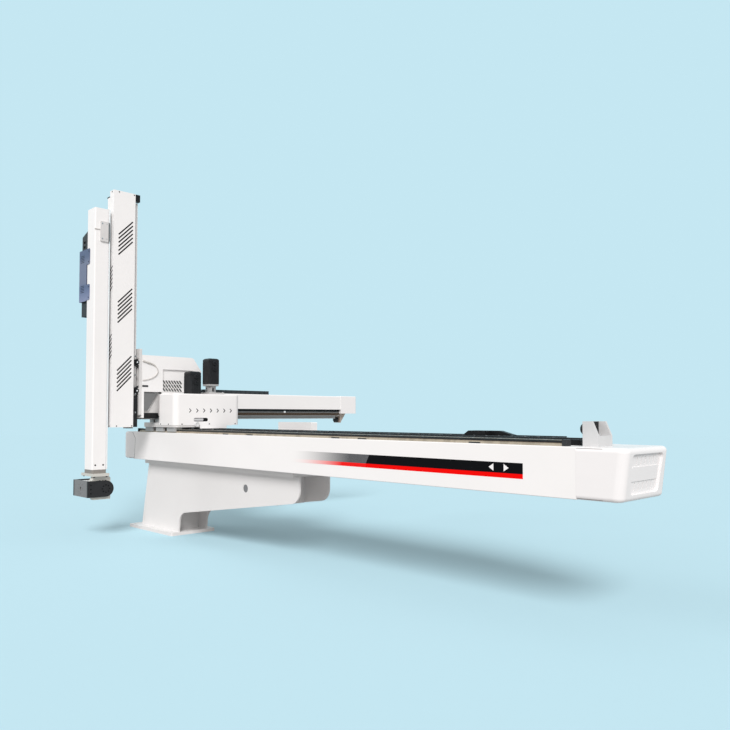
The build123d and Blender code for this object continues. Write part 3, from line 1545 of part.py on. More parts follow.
# Flip actuator on the left of the hanger, with a round body and a mounting block
cheek_right = hanger_right + cheek_gap + cheek_thickness
cheek_left = cheek_right - cheek_span
with BuildPart() as actuator:
    actuator_side = [
        (pivot_y + actuator_back, pivot_z - actuator_height / 2),
        (pivot_y + actuator_back, pivot_z + actuator_top),
        (pivot_y - actuator_front, pivot_z + actuator_top),
        (pivot_y - actuator_front, pivot_z - actuator_nose),
        (pivot_y - actuator_heel, pivot_z - actuator_height / 2),
    ]
    prism("x", -actuator_left, hanger_left, actuator_side)
    rods("x", cheek_left + cheek_thickness + cheek_gap, hanger_left, [(pivot_y, pivot_z)],
         actuator_height / 2 - actuator_shoulder)
    rods("x", cheek_left + cheek_thickness + cheek_gap, hanger_left, [(pivot_y, pivot_z)],
         pivot_radius + shaft_gap, mode=Mode.SUBTRACT)
save(actuator, "flip_actuator")

# Flip unit: two cheeks on the pivot and the tool plate between their front edges
cheek_round = cheek_height / 2
cheek_front = pivot_y - cheek_length
with BuildPart() as cheeks:
    for low in (cheek_left, cheek_right - cheek_thickness):
        with BuildSketch(Plane.YZ.offset(low)):
            with Locations((cheek_front + cheek_length / 2, pivot_z)):
                Rectangle(cheek_length, cheek_height)
            with Locations((pivot_y, pivot_z)):
                Circle(cheek_round)
                with PolarLocations(cheek_bolt_circle, cheek_bolt_count):
                    Circle(cheek_bolt_radius, mode=Mode.SUBTRACT)
            with Locations((cheek_front + cheek_front_inset, pivot_z)):
                with GridLocations(0, cheek_front_pitch, 1, cheek_front_holes):
                    Circle(cheek_front_hole, mode=Mode.SUBTRACT)
        extrude(amount=cheek_thickness)
    for low, high in ((cheek_left + cheek_thickness, cheek_left + cheek_thickness + pivot_stub),
                      (hanger_left, cheek_right - cheek_thickness)):
        rods("x", low, high, [(pivot_y, pivot_z)], pivot_radius)
save(cheeks, "flip_cheeks")

plate_start = cheek_front + tool_plate_thickness
with BuildPart() as tool_plate:
    inner_x = (cheek_left + cheek_thickness, cheek_right - cheek_thickness)
    bar(inner_x, (cheek_front, plate_start),
        (pivot_z - cheek_height / 2, pivot_z + cheek_height / 2))
    tool_middle = ((inner_x[0] + inner_x[1]) / 2, pivot_z)
    with BuildSketch(Plane.XZ.offset(-cheek_front)):
        with Locations(tool_middle):
            Circle(tool_centre_bore / 2)
            with PolarLocations(tool_bolt_circle / 2, tool_bolt_count):
                Circle(tool_bolt_bore / 2)
    extrude(amount=-tool_plate_thickness, mode=Mode.SUBTRACT)
save(tool_plate, "tool_plate")
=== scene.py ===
"""Looks of the injection moulding manipulator: finishes, livery, fasteners and fittings.

It is laid out as an add-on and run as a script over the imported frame. X runs along the cross
beam, Y points to the back and Z points up. The frame, the sidebar and the finishes are in metres;
the mesh helpers and the operators that use them take millimetres."""

from math import atan2, cos, pi, radians, sin
from types import SimpleNamespace

import bmesh
import bpy
from mathutils import Matrix, Vector


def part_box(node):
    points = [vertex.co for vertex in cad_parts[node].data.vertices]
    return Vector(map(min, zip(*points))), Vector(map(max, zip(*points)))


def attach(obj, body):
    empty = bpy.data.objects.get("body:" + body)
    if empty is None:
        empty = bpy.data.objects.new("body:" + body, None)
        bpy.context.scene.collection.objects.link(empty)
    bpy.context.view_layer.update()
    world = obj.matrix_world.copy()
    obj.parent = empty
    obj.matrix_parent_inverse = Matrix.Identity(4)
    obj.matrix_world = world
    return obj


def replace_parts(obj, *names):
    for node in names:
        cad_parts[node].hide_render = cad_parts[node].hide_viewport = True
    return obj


bl_info = {
    "name": "Moulding manipulator looks",
    "version": (1, 0, 0),
    "blender": (4, 5, 0),
    "location": "3D View > Sidebar > Manipulator",
    "description": "Dresses a beam-mounted take-out manipulator with finishes and fittings",
    "category": "Object",
}

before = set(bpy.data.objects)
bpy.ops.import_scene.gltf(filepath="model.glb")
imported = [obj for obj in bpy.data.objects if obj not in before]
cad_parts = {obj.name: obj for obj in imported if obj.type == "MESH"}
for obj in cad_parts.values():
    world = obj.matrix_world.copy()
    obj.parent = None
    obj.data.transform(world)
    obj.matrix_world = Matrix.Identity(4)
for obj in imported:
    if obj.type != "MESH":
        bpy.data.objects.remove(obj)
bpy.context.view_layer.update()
MM = 0.001
MERGED = 1e-6  # metres between two points that count as one
SHARP = 0.5  # radians between two faces whose edge gets a bevel
SUNK = 0.1  # millimetres that a fitting sits in its face, so that no gap shows
BELT_RIB = 8 * MM
CHAIN_LINK = 50 * MM
ONE_WAVE = 0.314  # scale of a wave texture that repeats once a metre
FULL_TURN = 6.283
NO_STEP = (0, 0, 0)
ALONG_X = (0, radians(90), 0)
TO_FRONT = (radians(90), 0, 0)
TO_BACK = (radians(-90), 0, 0)
UPSIDE_DOWN = (radians(180), 0, 0)


def colour_value(label, text, value):
    """A colour that the sidebar shows."""
    return bpy.props.FloatVectorProperty(
        name=label, description=text, subtype="COLOR", size=3, min=0, max=1, default=value
    )


def number_value(label, text, value, **kind):
    """A number that the sidebar shows."""
    return bpy.props.FloatProperty(name=label, description=text, default=value, **kind)


def length_value(label, text, millimetres):
    """A length that the sidebar shows, given in millimetres."""
    return number_value(label, text, millimetres * MM, unit="LENGTH", subtype="DISTANCE")


def angle_value(label, text, degrees):
    """An angle that the sidebar shows, given in degrees."""
    return number_value(label, text, radians(degrees), unit="ROTATION", subtype="ANGLE")


class ManipulatorColours(bpy.types.PropertyGroup):
    """Colours of the paints, plastics and metals."""

    paint: colour_value("Paint", "Powder coat on the beam, pedestal and covers", (0.9, 0.885, 0.88))
    moulding: colour_value("Moulding", "Plastic of the end caps", (0.88, 0.86, 0.86))
    aluminium: colour_value("Aluminium", "Machined plates", (0.7, 0.68, 0.67))
    # The rails' warm tan is partly the oil film on the steel and partly painted reflection of warm
    # surroundings.
    rail: colour_value("Rail", "Ground guide rails", (0.46, 0.38, 0.29))
    bronze: colour_value("Bronze", "Rack of the kick beam", (0.12, 0.085, 0.06))
    tan: colour_value("Tan", "Stop bracket under the kick beam", (0.5, 0.38, 0.31))
    cream: colour_value("Cream", "Flange and hanger of the wrist", (0.66, 0.63, 0.58))
    steel: colour_value("Steel", "Guide blocks and pinions", (0.42, 0.42, 0.42))
    casting: colour_value("Casting", "Blasted brackets and housings", (0.66, 0.65, 0.65))
    tool: colour_value("Tool plate", "Plate that takes the gripper", (0.22, 0.22, 0.225))
    cheek: colour_value("Cheek", "Anodised cheeks of the flip unit", (0.028, 0.028, 0.03))
    black: colour_value("Black", "Motors, oxide steel and plastics", (0.013, 0.013, 0.014))
    stripe: colour_value("Stripe", "Red strip of the beam's livery", (0.88, 0.004, 0.003))
    box_dark: colour_value("Box, dark", "Upper tone of the valve box", (0.04, 0.06, 0.15))
    box_light: colour_value("Box, light", "Lower tone of the valve box", (0.2, 0.22, 0.37))
    wire: colour_value("Wire", "Sheath of the motor wire", (0.4, 0.38, 0.36))


class ManipulatorLivery(bpy.types.PropertyGroup):
    """Places of the livery on the front of the beam, along it and above the ground."""

    fade_start: length_value("Fade start", "Where the stripes begin to show", 1818)
    band_start: length_value("Band start", "Where the black band begins", 2488)
    band_end: length_value("Band end", "Where the stripes stop", 3497)
    band_slant: length_value("Band slant", "How far the band's first edge leans", 27)
    low: length_value("Low edge", "Height of the red strip's lower edge", 639)
    middle: length_value("Middle", "Height where red meets black", 660.5)
    high: length_value("High edge", "Height of the black band's upper edge", 710)
    hatch: length_value("Hatch pitch", "Distance between the lines of the hatching", 9)
    thickness: length_value("Thickness", "How proud the foil stands", 0.4)
    mark_left: length_value("Left triangle", "Middle of the left triangle", 3324)
    mark_right: length_value("Right triangle", "Middle of the right triangle", 3408)
    mark_width: length_value("Triangle width", "Width of each triangle", 27)
    mark_height: length_value("Triangle height", "Height of each triangle", 34)


class ManipulatorFixings(bpy.types.PropertyGroup):
    """Sizes of screws and marks."""

    rail_pitch: length_value("Rail pitch", "Distance between rail screws", 80)
    rail_head: length_value("Rail head", "Radius of a rail screw's head", 6.5)
    cover_head: length_value("Cover head", "Radius of a cover screw's head", 4.5)
    plate_head: length_value("Plate head", "Radius of a plate screw's head", 7)
    arrow_pitch: length_value("Arrow pitch", "Distance between the cover's arrows", 61.8)
    arrow_arm: length_value("Arrow arm", "Length of each arm of an arrow", 23)
    arrow_stroke: length_value("Arrow stroke", "Width of an arrow's stroke", 6.5)


class ManipulatorStage(bpy.types.PropertyGroup):
    """Camera, lamps and floor."""

    lens: number_value("Lens", "Focal length of the camera", 35, unit="CAMERA")
    camera: bpy.props.FloatVectorProperty(
        name="Camera", description="Where the camera stands", subtype="TRANSLATION",
        unit="LENGTH", default=(5.29, -2.96, 0.926)
    )
    turn: angle_value("Turn", "Turn of the camera to the left", 45.6)
    tilt: angle_value("Tilt", "How far the camera looks up", 2)
    shift: number_value("Shift", "Upward shift of the picture", 0.035)
    backdrop: colour_value("Backdrop", "Colour of the floor and the background", (0.56, 0.8, 0.89))
    key: number_value("Key", "Strength of the main lamp", 2.55)
    fill: number_value("Fill", "Strength of the fill lamp", 0.45)
    ambient: number_value("Ambient", "Strength of the even light", 0.57)
    warmth: colour_value("Warmth", "Tint of the even light and the lamps", (1, 0.985, 0.975))
    softness: angle_value("Softness", "Angle that each lamp spans", 24)


def settings():
    """The sidebar's values."""
    return bpy.context.scene.manipulator


class ManipulatorSettings(bpy.types.PropertyGroup):
    """Everything that the sidebar shows."""

    colours: bpy.props.PointerProperty(type=ManipulatorColours)
    livery: bpy.props.PointerProperty(type=ManipulatorLivery)
    fixings: bpy.props.PointerProperty(type=ManipulatorFixings)
    stage: bpy.props.PointerProperty(type=ManipulatorStage)


# Node trees


class Signal:
    """A socket that plain arithmetic can be written on; each sign adds its Math node."""

    def __init__(self, graph, socket):
        self.graph = graph
        self.socket = socket

    def maths(self, operation, first, second):
        return self.graph.add("ShaderNodeMath", {"operation": operation}, {0: first, 1: second})

    def __add__(self, other):
        return self.maths("ADD", self, other)

    __radd__ = __add__

    def __sub__(self, other):
        return self.maths("SUBTRACT", self, other)

    def __rsub__(self, other):
        return self.maths("SUBTRACT", other, self)

    def __mul__(self, other):
        return self.maths("MULTIPLY", self, other)

    __rmul__ = __mul__

    def __truediv__(self, other):
        return self.maths("DIVIDE", self, other)

    def __gt__(self, other):
        return self.maths("GREATER_THAN", self, other)

    def __lt__(self, other):
        return self.maths("LESS_THAN", self, other)


class Graph:
    """A node tree in the making, for a material or for Geometry Nodes."""

    def __init__(self, tree):
        self.tree = tree
        tree.nodes.clear()

    def add(self, kind, settings=None, inputs=None, output=0):
        """Adds one node: its settings first, then the values or links of its sockets."""
        node = self.tree.nodes.new(kind)
        for name, value in (settings or {}).items():
            if name == "stops":
                ramp = node.color_ramp
                for index, (place, tone) in enumerate(value):
                    stop = ramp.elements[index] if index < 2 else ramp.elements.new(place)
                    stop.position = place
                    stop.color = (*tone, 1)
            else:
                setattr(node, name, value)
        for key, value in (inputs or {}).items():
            for one in value if isinstance(value, list) else [value]:
                if isinstance(one, Signal):
                    self.tree.links.new(one.socket, node.inputs[key])
                else:
                    node.inputs[key].default_value = one
        return Signal(self, node.outputs[output] if node.outputs else None)

    def part(self, signal, output):
        """Another output of the node that a signal comes from."""
        return Signal(self, signal.socket.node.outputs[output])


class Finish(Graph):
    """A material built on the piece's own Object coordinates."""

    def __init__(self, name):
        self.material = bpy.data.materials.new(name)
        self.material.use_nodes = True
        super().__init__(self.material.node_tree)
        self.point = self.add("ShaderNodeTexCoord", output="Object")

    def noise(self, scale, detail=3.0, stretch=None):
        """Soft noise from 0 to 1; stretch scales it along X, Y and Z."""
        place = self.point
        if stretch:
            place = self.add("ShaderNodeMapping", {}, {"Vector": place, "Scale": stretch})
        return self.add("ShaderNodeTexNoise", {},
                        {"Vector": place, "Scale": scale, "Detail": detail})

    def wave(self, along, pitch):
        """Bands that repeat at a pitch along an axis."""
        return self.add("ShaderNodeTexWave", {"bands_direction": along},
                        {"Vector": self.point, "Scale": ONE_WAVE / pitch, "Distortion": 0.0})

    def axes(self):
        """X, Y and Z of the point as three signals."""
        split = self.add("ShaderNodeSeparateXYZ", {}, {0: self.point})
        return split, self.part(split, "Y"), self.part(split, "Z")

    def mix(self, factor, low, high):
        """A colour between low and high."""
        low, high = ((*tone, 1) if isinstance(tone, tuple) else tone for tone in (low, high))
        return self.add("ShaderNodeMix", {"data_type": "RGBA"},
                        {0: factor, 6: low, 7: high}, output=2)

    def step(self, value, low, high):
        """0 below low, 1 above high and smooth between them."""
        return self.add("ShaderNodeMapRange", {"interpolation_type": "SMOOTHSTEP"},
                        {"Value": value, "From Min": low, "From Max": high})

    def bump(self, height, strength, distance):
        return self.add("ShaderNodeBump", {},
                        {"Height": height, "Strength": strength, "Distance": distance})

    def done(self, colour, roughness, normal=None, metallic=0.0, coat=0.0, specular=0.5):
        """Joins the maps to the surface and returns the material."""
        inputs = {"Base Color": colour, "Roughness": roughness, "Metallic": metallic,
                  "Coat Weight": coat, "Specular IOR Level": specular}
        if normal:
            inputs["Normal"] = normal
        surface = self.add("ShaderNodeBsdfPrincipled", {}, inputs)
        self.add("ShaderNodeOutputMaterial", {}, {"Surface": surface})
        return self.material


def shade(tone, factor):
    """A tone made lighter or darker."""
    return tuple(min(1, channel * factor) for channel in tone)


def clouded(name, tone, cloud, spread, gloss, grain, **surface):
    """A finish of clouds between two shades, an uneven gloss and a grain.

    cloud is a noise, spread two shades, gloss a base, a swing and a noise's scale, and grain a
    strength, a distance and a noise; without a noise of its own each follows the clouds."""
    finish = Finish(name)
    clouds = finish.noise(*cloud)
    colour = finish.mix(clouds, shade(tone, spread[0]), shade(tone, spread[1]))
    base, swing, *scale = gloss
    uneven = finish.noise(*scale) if scale else clouds
    strength, distance, *fine = grain
    height = finish.noise(*fine) if fine else clouds
    return finish.done(colour, base + (uneven - 0.5) * swing,
                       finish.bump(height, strength, distance), **surface)


def painted(name, tone):
    """Powder coat: faint clouding, an orange-peel skin and a slightly uneven gloss."""
    return clouded(name, tone, (3.5, 4), (0.97, 1.02), (0.36, 0.1, 28),
                   (0.05, 0.0004, 950, 2), specular=0.2)


def moulded(name, tone):
    """Moulded plastic with a fine spark-eroded grain and faint flow marks."""
    return clouded(name, tone, (5, 2, (0.4, 1, 2.5)), (0.965, 1.015), (0.32, 0.12, 60),
                   (0.08, 0.0003, 1400, 2), specular=0.25)


def rubbery(name, tone, roughness=0.72):
    """Matt rubber with a dusty bloom."""
    return clouded(name, tone, (35, 5), (1, 2.1), (roughness, 0.2), (0.15, 0.0003, 500))


def foil(name, tone):
    """Plain glossy foil with faint ripples from its laying."""
    return clouded(name, tone, (7, 3, (1, 1, 4)), (0.95, 1.05), (0.35, 0.08, 90),
                   (0.05, 0.0006), specular=0.02)


def socket_steel(name, tone):
    """Zinc or black screw steel with fine scratches."""
    return clouded(name, tone, (260, 4), (0.75, 1.3), (0.34, 0.3), (0.15, 0.0002), metallic=0.7)


def machined(name, tone, along, roughness=0.45, metallic=0.05, contrast=0.12):
    """Metal with tool marks that run along one axis, and a few handling smudges."""
    stretch = {"x": (0.6, 60, 60), "y": (60, 0.6, 60), "z": (60, 60, 0.6)}[along]
    finish = Finish(name)
    marks = finish.noise(16, 6, stretch)
    smudge = finish.step(finish.noise(9, 4), 0.45, 0.75)
    streaks = finish.mix(marks, shade(tone, 1 - contrast), shade(tone, 1 + contrast))
    colour = finish.mix(smudge * 0.35, streaks, shade(tone, 0.86))
    gloss = roughness + (marks - 0.5) * 0.22 + smudge * 0.08
    return finish.done(colour, gloss, finish.bump(marks, 0.12, 0.0002), metallic=metallic,
                       specular=0.2)


def beam_rail(name, tone, dark):
    """Ground rail, black above its foot and with darker grease patches; the rear one is black all
    over as painted shade from the cable tray.
    """
    finish = Finish(name)
    _, y, z = finish.axes()
    low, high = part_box("traverse_rails")
    foot, edge = low.z + 13 * MM, high.z - 0.5 * MM
    dark_above_foot = (z > foot) * (z < edge)
    marks = finish.noise(16, 6, (0.6, 60, 60))
    grease = finish.step(finish.noise(3, 6, (6, 1, 1)), 0.45, 0.6)
    streaks = finish.mix(marks, shade(tone, 0.8), shade(tone, 1.35))
    front = finish.mix(grease * 0.5, streaks, shade(tone, 0.6))
    # The rear rail (y > 0) is dark all over: painted shade from the cable tray.
    colour = finish.mix((y > 0) + dark_above_foot, front, dark)
    gloss = 0.34 + (marks - 0.5) * 0.2
    return finish.done(colour, gloss, finish.bump(marks, 0.12, 0.0002), metallic=0.35)


def blasted(name, tone, roughness=0.55, metallic=0.15):
    """A bead-blasted or cast surface: dense speckle and soft tonal patches."""
    finish = Finish(name)
    speckle = finish.noise(420, 4)
    patches = finish.noise(14, 3)
    colour = finish.mix(patches * 0.6 + speckle * 0.4, shade(tone, 0.86), shade(tone, 1.14))
    gloss = roughness + (speckle - 0.5) * 0.18
    return finish.done(colour, gloss, finish.bump(speckle, 0.22, 0.0004), metallic=metallic,
                       specular=0.15)


def oxide(name, tone):
    """Blackened steel with an oily sheen and rubbed, slightly browner patches."""
    finish = Finish(name)
    rubbed = finish.step(finish.noise(22, 5), 0.52, 0.78)
    brown = (tone[0] * 2.4, tone[1] * 2.0, tone[2] * 1.7)
    colour = finish.mix(rubbed, tone, brown)
    gloss = 0.42 - rubbed * 0.12 + (finish.noise(300) - 0.5) * 0.1
    return finish.done(colour, gloss, finish.bump(finish.noise(700), 0.1, 0.0002), specular=0.15)


def ribbed_belt(name, tone, pitch):
    """A toothed belt: rubber with fine ribs that cross its run."""
    finish = Finish(name)
    ribs = finish.wave("Z", pitch)
    bloom = finish.noise(40, 4)
    colour = finish.mix(bloom * 0.5 + ribs * 0.5, tone, shade(tone, 2.4))
    return finish.done(colour, 0.62 + (bloom - 0.5) * 0.2, finish.bump(ribs, 0.5, 0.0012))


def chain_plastic(name, tone, along, pitch):
    """Nylon drag chain: a seam between links and a soft sheen on each."""
    finish = Finish(name)
    seam = finish.step(finish.wave(along, pitch), 0.05, 0.3)
    link = finish.mix(finish.noise(30), tone, shade(tone, 1.8))
    colour = finish.mix(seam, shade(tone, 0.4), link)
    return finish.done(colour, 0.42 + (finish.noise(80) - 0.5) * 0.14,
                       finish.bump(seam, 0.6, 0.0015))


def servo_black(name, tone):
    """Fine textured black of a servo motor, with a dull stain where hands touch it."""
    finish = Finish(name)
    speckle = finish.noise(850, 3)
    touched = finish.step(finish.noise(17, 3), 0.5, 0.72)
    colour = finish.mix(speckle * 0.5 + touched * 0.3, tone, shade(tone, 2.6))
    gloss = 0.4 + touched * 0.12 + (speckle - 0.5) * 0.16
    return finish.done(colour, gloss, finish.bump(speckle, 0.2, 0.0004), specular=0.15)


def faded_box(name, dark, light):
    """Valve box paint that fades from navy to a pale blue grey, once in each half."""
    low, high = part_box("valve_box")
    finish = Finish(name)
    height = (finish.axes()[2] - low.z) / (high.z - low.z)
    fade = finish.add("ShaderNodeValToRGB", {"stops": [
        (0.0, light), (0.75, shade(light, 0.62)), (0.28, shade(dark, 1.25)),
        (0.36, shade(light, 0.6)), (0.86, dark),
    ]}, {"Fac": height})
    speckle = finish.noise(700)
    colour = finish.mix(finish.noise(12) * 0.14, fade, shade(dark, 0.7))
    return finish.done(colour, 0.4 + (speckle - 0.5) * 0.14, finish.bump(speckle, 0.1, 0.0003),
                       coat=0.1)


def beam_foil(name, colours, livery):
    """The foil's faded stretch: hatched grey above and red below, out of the beam's white."""
    finish = Finish(name)
    x, _, z = finish.axes()
    reach = finish.step(x, livery.fade_start, livery.band_start)
    lines = finish.add("ShaderNodeMath", {"operation": "SINE"},
                       {0: (x + z) * (FULL_TURN / livery.hatch)})
    hatch = finish.mix(finish.step(lines, -0.4, 0.4), (0.035, 0.035, 0.04), (0.17, 0.17, 0.175))
    upper = z > livery.middle
    stripes = finish.mix(upper, tuple(colours.stripe), hatch)
    strength = reach * 1.25 * (1 - upper * 0.12)
    strength = finish.add("ShaderNodeClamp", {}, {"Value": strength})
    colour = finish.mix(strength, tuple(colours.paint), stripes)
    return finish.done(colour, 0.34 + (finish.noise(40) - 0.5) * 0.06,
                       finish.bump(finish.noise(900), 0.03, 0.0003), specular=0.15)


def seen_directly(graph):
    """1 for the rays that look at the background, 0 for those that carry light to the object."""
    path = graph.add("ShaderNodeLightPath")
    rays = [graph.part(path, f"Is {kind} Ray") for kind in ("Camera", "Glossy", "Transmission")]
    most = graph.add("ShaderNodeMath", {"operation": "MAXIMUM"}, {0: rays[0], 1: rays[1]})
    return graph.add("ShaderNodeMath", {"operation": "MAXIMUM"}, {0: most, 1: rays[2]})


# Meshes: every length and place below is given in millimetres


def metres(point):
    """A point or a size, from millimetres to metres."""
    return tuple(part * MM for part in point)


def in_mm(corners):
    """The two corners of a box, from metres to millimetres."""
    return [corner / MM for corner in corners]


def sizes(group):
    """The lengths of one of the sidebar's groups, in millimetres."""
    return SimpleNamespace(**{name: getattr(group, name) / MM
                              for name in type(group).__annotations__})


def finish_named(name):
    """A finish that the first operator made."""
    material = bpy.data.materials.get(name)
    if material is None:
        raise RuntimeError(f"the finish {name} isn't made yet")
    return material


def add_piece(name, mesh, body, finish=None):
    """Puts a finished mesh on a body of the frame."""
    piece = bpy.data.objects.new(name, mesh)
    if finish:
        mesh.materials.append(finish_named(finish))
    bpy.context.scene.collection.objects.link(piece)
    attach(piece, body)
    return piece


def mesh_from(name, build, bevel=0.0):
    """A mesh made by build(bm), with its edges broken by a small bevel."""
    bm = bmesh.new()
    build(bm)
    bmesh.ops.remove_doubles(bm, verts=bm.verts, dist=MERGED)
    bmesh.ops.recalc_face_normals(bm, faces=bm.faces)
    if bevel:
        edges = [e for e in bm.edges if e.is_manifold and e.calc_face_angle() > SHARP]
        bmesh.ops.bevel(bm, geom=edges, offset=bevel * MM, segments=2, affect="EDGES",
                        clamp_overlap=True)
        bmesh.ops.dissolve_degenerate(bm, dist=2 * MERGED, edges=bm.edges[:])
    mesh = bpy.data.meshes.new(name)
    bm.to_mesh(mesh)
    bm.free()
    return mesh


def put(name, body, finish, build, bevel=0.0):
    """Makes one piece and sets it on a body."""
    return add_piece(name, mesh_from(name, build, bevel), body, finish)


def blocks(*pairs):
    """Builds a block between each pair of corners."""
    def build(bm):
        for pair in pairs:
            low, high = (Vector(metres(corner)) for corner in pair)
            matrix = Matrix.Translation((low + high) / 2) @ Matrix.Diagonal((*(high - low), 1))
            bmesh.ops.create_cube(bm, size=1, matrix=matrix)
    return build


def plates(face, thickness, *outlines, across="y"):
    """Builds sheets on a face across Y, towards the front, or across X, to the right."""
    def build(bm):
        for outline in outlines:
            spots = [(u, face, v) if across == "y" else (face, u, v) for u, v in outline]
            sheet = bm.faces.new([bm.verts.new(metres(spot)) for spot in spots])
            moved = bmesh.ops.extrude_face_region(bm, geom=[sheet])["geom"]
            push = (0, -thickness, 0) if across == "y" else (thickness, 0, 0)
            bmesh.ops.translate(bm, vec=metres(push),
                                verts=[v for v in moved if isinstance(v, bmesh.types.BMVert)])
    return build


def strokes(points, width):
    """Outlines of the straight strokes that make a line of even width."""
    outlines = []
    for start, end in zip(points, points[1:]):
        along = (Vector(end) - Vector(start)).normalized() * width / 2
        side = Vector((-along.y, along.x))
        start, end = Vector(start) - along, Vector(end) + along
        outlines.append([start - side, start + side, end + side, end - side])
    return outlines


def join_rings(bm, rings):
    """Makes a solid over rings that have as many points each."""
    for lower, upper in zip(rings, rings[1:]):
        for i in range(len(lower)):
            bm.faces.new((lower[i - 1], lower[i], upper[i], upper[i - 1]))
    bm.faces.new(rings[0])
    bm.faces.new(rings[-1])


def add_turned(bm, profile, centre, axis, steps=28, start=0):
    """A turned part: profile points of (radius, height) spun about an axis through centre."""
    turn = {"x": Matrix.Rotation(radians(90), 4, "Y"), "y": Matrix.Rotation(radians(-90), 4, "X"),
            "z": Matrix.Identity(4)}[axis]
    place = Matrix.Translation(metres(centre)) @ turn
    rings = []
    for radius, height in profile:
        spots = [Matrix.Rotation(radians(start + 360 * i / steps), 4, "Z")
                 @ Vector(metres((radius, 0, height))) for i in range(steps)]
        rings.append([bm.verts.new(place @ spot) for spot in spots])
    join_rings(bm, rings)


def turned(profile, axis, *centres, steps=28):
    """Builds the same turned part at each centre."""
    def build(bm):
        for centre in centres:
            add_turned(bm, profile, centre, axis, steps)
    return build


def swept(name, path, radii):
    """A round cable through points, with a radius at each of them."""
    curve = bpy.data.curves.new(name, "CURVE")
    curve.dimensions = "3D"
    curve.bevel_depth = 1
    curve.bevel_resolution = 4
    curve.resolution_u = 10
    curve.use_fill_caps = True
    spline = curve.splines.new("BEZIER")
    spline.bezier_points.add(len(path) - 1)
    for point, place, radius in zip(spline.bezier_points, path, radii):
        point.co, point.radius = metres(place), radius * MM
        point.handle_left_type = point.handle_right_type = "AUTO"
    mesh = plain_mesh(bpy.data.objects.new(name, curve))
    mesh.materials.clear()
    return mesh


def plain_mesh(maker):
    """The plain mesh that an object's curve or modifiers give; the object itself goes."""
    bpy.context.scene.collection.objects.link(maker)
    bpy.context.view_layer.update()
    depsgraph = bpy.context.evaluated_depsgraph_get()
    mesh = bpy.data.meshes.new_from_object(maker.evaluated_get(depsgraph))
    bpy.data.objects.remove(maker)
    return mesh


# Geometry Nodes for what repeats


def row_tree(name, inputs, build_shape):
    """A tree that adds a row of one shape to what comes in. Returns it with its inputs' names."""
    tree = bpy.data.node_groups.new(name, "GeometryNodeTree")
    face = tree.interface
    face.new_socket("Geometry", in_out="OUTPUT", socket_type="NodeSocketGeometry")
    named = {"Geometry": "Geometry", "Start": "Vector", "Step": "Vector", "Count": "Int",
             "Turn": "Vector", "Finish": "Material", **inputs}
    keys = {}
    for label, kind in named.items():
        socket = face.new_socket(label, in_out="INPUT", socket_type=f"NodeSocket{kind}")
        keys[label] = socket.identifier
    graph = Graph(tree)
    entry = graph.add("NodeGroupInput")
    value = {label: graph.part(entry, label) for label in named}
    line = graph.add("GeometryNodeMeshLine", {"mode": "OFFSET"}, {
        "Count": value["Count"], "Start Location": value["Start"], "Offset": value["Step"]})
    shape = build_shape(graph, value)
    row = graph.add("GeometryNodeInstanceOnPoints", {}, {
        "Points": line, "Instance": shape, "Rotation": value["Turn"]})
    solid = graph.add("GeometryNodeRealizeInstances", {}, {"Geometry": row})
    dressed = graph.add("GeometryNodeSetMaterial", {}, {
        "Geometry": solid, "Material": value["Finish"]})
    joined = graph.add("GeometryNodeJoinGeometry", {}, {"Geometry": [value["Geometry"], dressed]})
    graph.add("NodeGroupOutput", {}, {0: joined})
    return tree, keys


def screw_shape(graph, value):
    """A socket-head screw: a round head with a recess sunk into its top."""
    head = graph.add("GeometryNodeMeshCylinder", {}, {
        "Vertices": 14, "Radius": value["Radius"], "Depth": value["Height"]}, output="Mesh")
    rim = graph.add("GeometryNodeExtrudeMesh", {"mode": "FACES"}, {
        "Mesh": head, "Selection": graph.part(head, "Top"), "Offset Scale": 0.0,
        "Individual": False})
    narrow = graph.add("GeometryNodeScaleElements", {}, {
        "Geometry": rim, "Selection": graph.part(rim, "Top"), "Scale": 0.52})
    sunk = graph.add("GeometryNodeExtrudeMesh", {"mode": "FACES"}, {
        "Mesh": narrow, "Selection": graph.part(rim, "Top"),
        "Offset Scale": value["Height"] * -0.6, "Individual": False})
    lift = graph.add("ShaderNodeCombineXYZ", {}, {"Z": value["Height"] * 0.5})
    return graph.add("GeometryNodeTransform", {}, {"Geometry": sunk, "Translation": lift})


def bar_shape(graph, value):
    """A small block, used for strokes, slots and fins."""
    return graph.add("GeometryNodeMeshCube", {}, {"Size": value["Size"]}, output="Mesh")


trees = {}


def screw_row(start, step, count, radius, height, finish, turn=(0, 0, 0)):
    """The inputs of one row of screws."""
    return "screws", {"Start": metres(start), "Step": metres(step), "Count": count, "Turn": turn,
                      "Finish": finish_named(finish), "Radius": radius * MM,
                      "Height": height * MM}


def bar_row(start, step, count, size, finish, turn=(0, 0, 0)):
    """The inputs of one row of blocks."""
    return "bars", {"Start": metres(start), "Step": metres(step), "Count": count, "Turn": turn,
                    "Finish": finish_named(finish), "Size": metres(size)}


def repeat(name, body, rows):
    """Makes rows of repeated shapes into one plain mesh that rides on a body."""
    if not trees:
        trees["screws"] = row_tree("screw_row", {"Radius": "Float", "Height": "Float"}, screw_shape)
        trees["bars"] = row_tree("bar_row", {"Size": "Vector"}, bar_shape)
    maker = bpy.data.objects.new(name + "_maker", bpy.data.meshes.new(name + "_maker"))
    for kind, values in rows:
        tree, keys = trees[kind]
        modifier = maker.modifiers.new(kind, "NODES")
        modifier.node_group = tree
        for label, value in values.items():
            modifier[keys[label]] = value
    mesh = plain_mesh(maker)
    if not mesh.polygons:
        raise RuntimeError(f"{name} came out empty")
    mesh.name = name
    return add_piece(name, mesh, body)


def dress(material, *names):
    """Gives a finish to nodes of the frame."""
    for name in names:
        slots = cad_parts[name].data.materials
        slots.clear()
        slots.append(material)


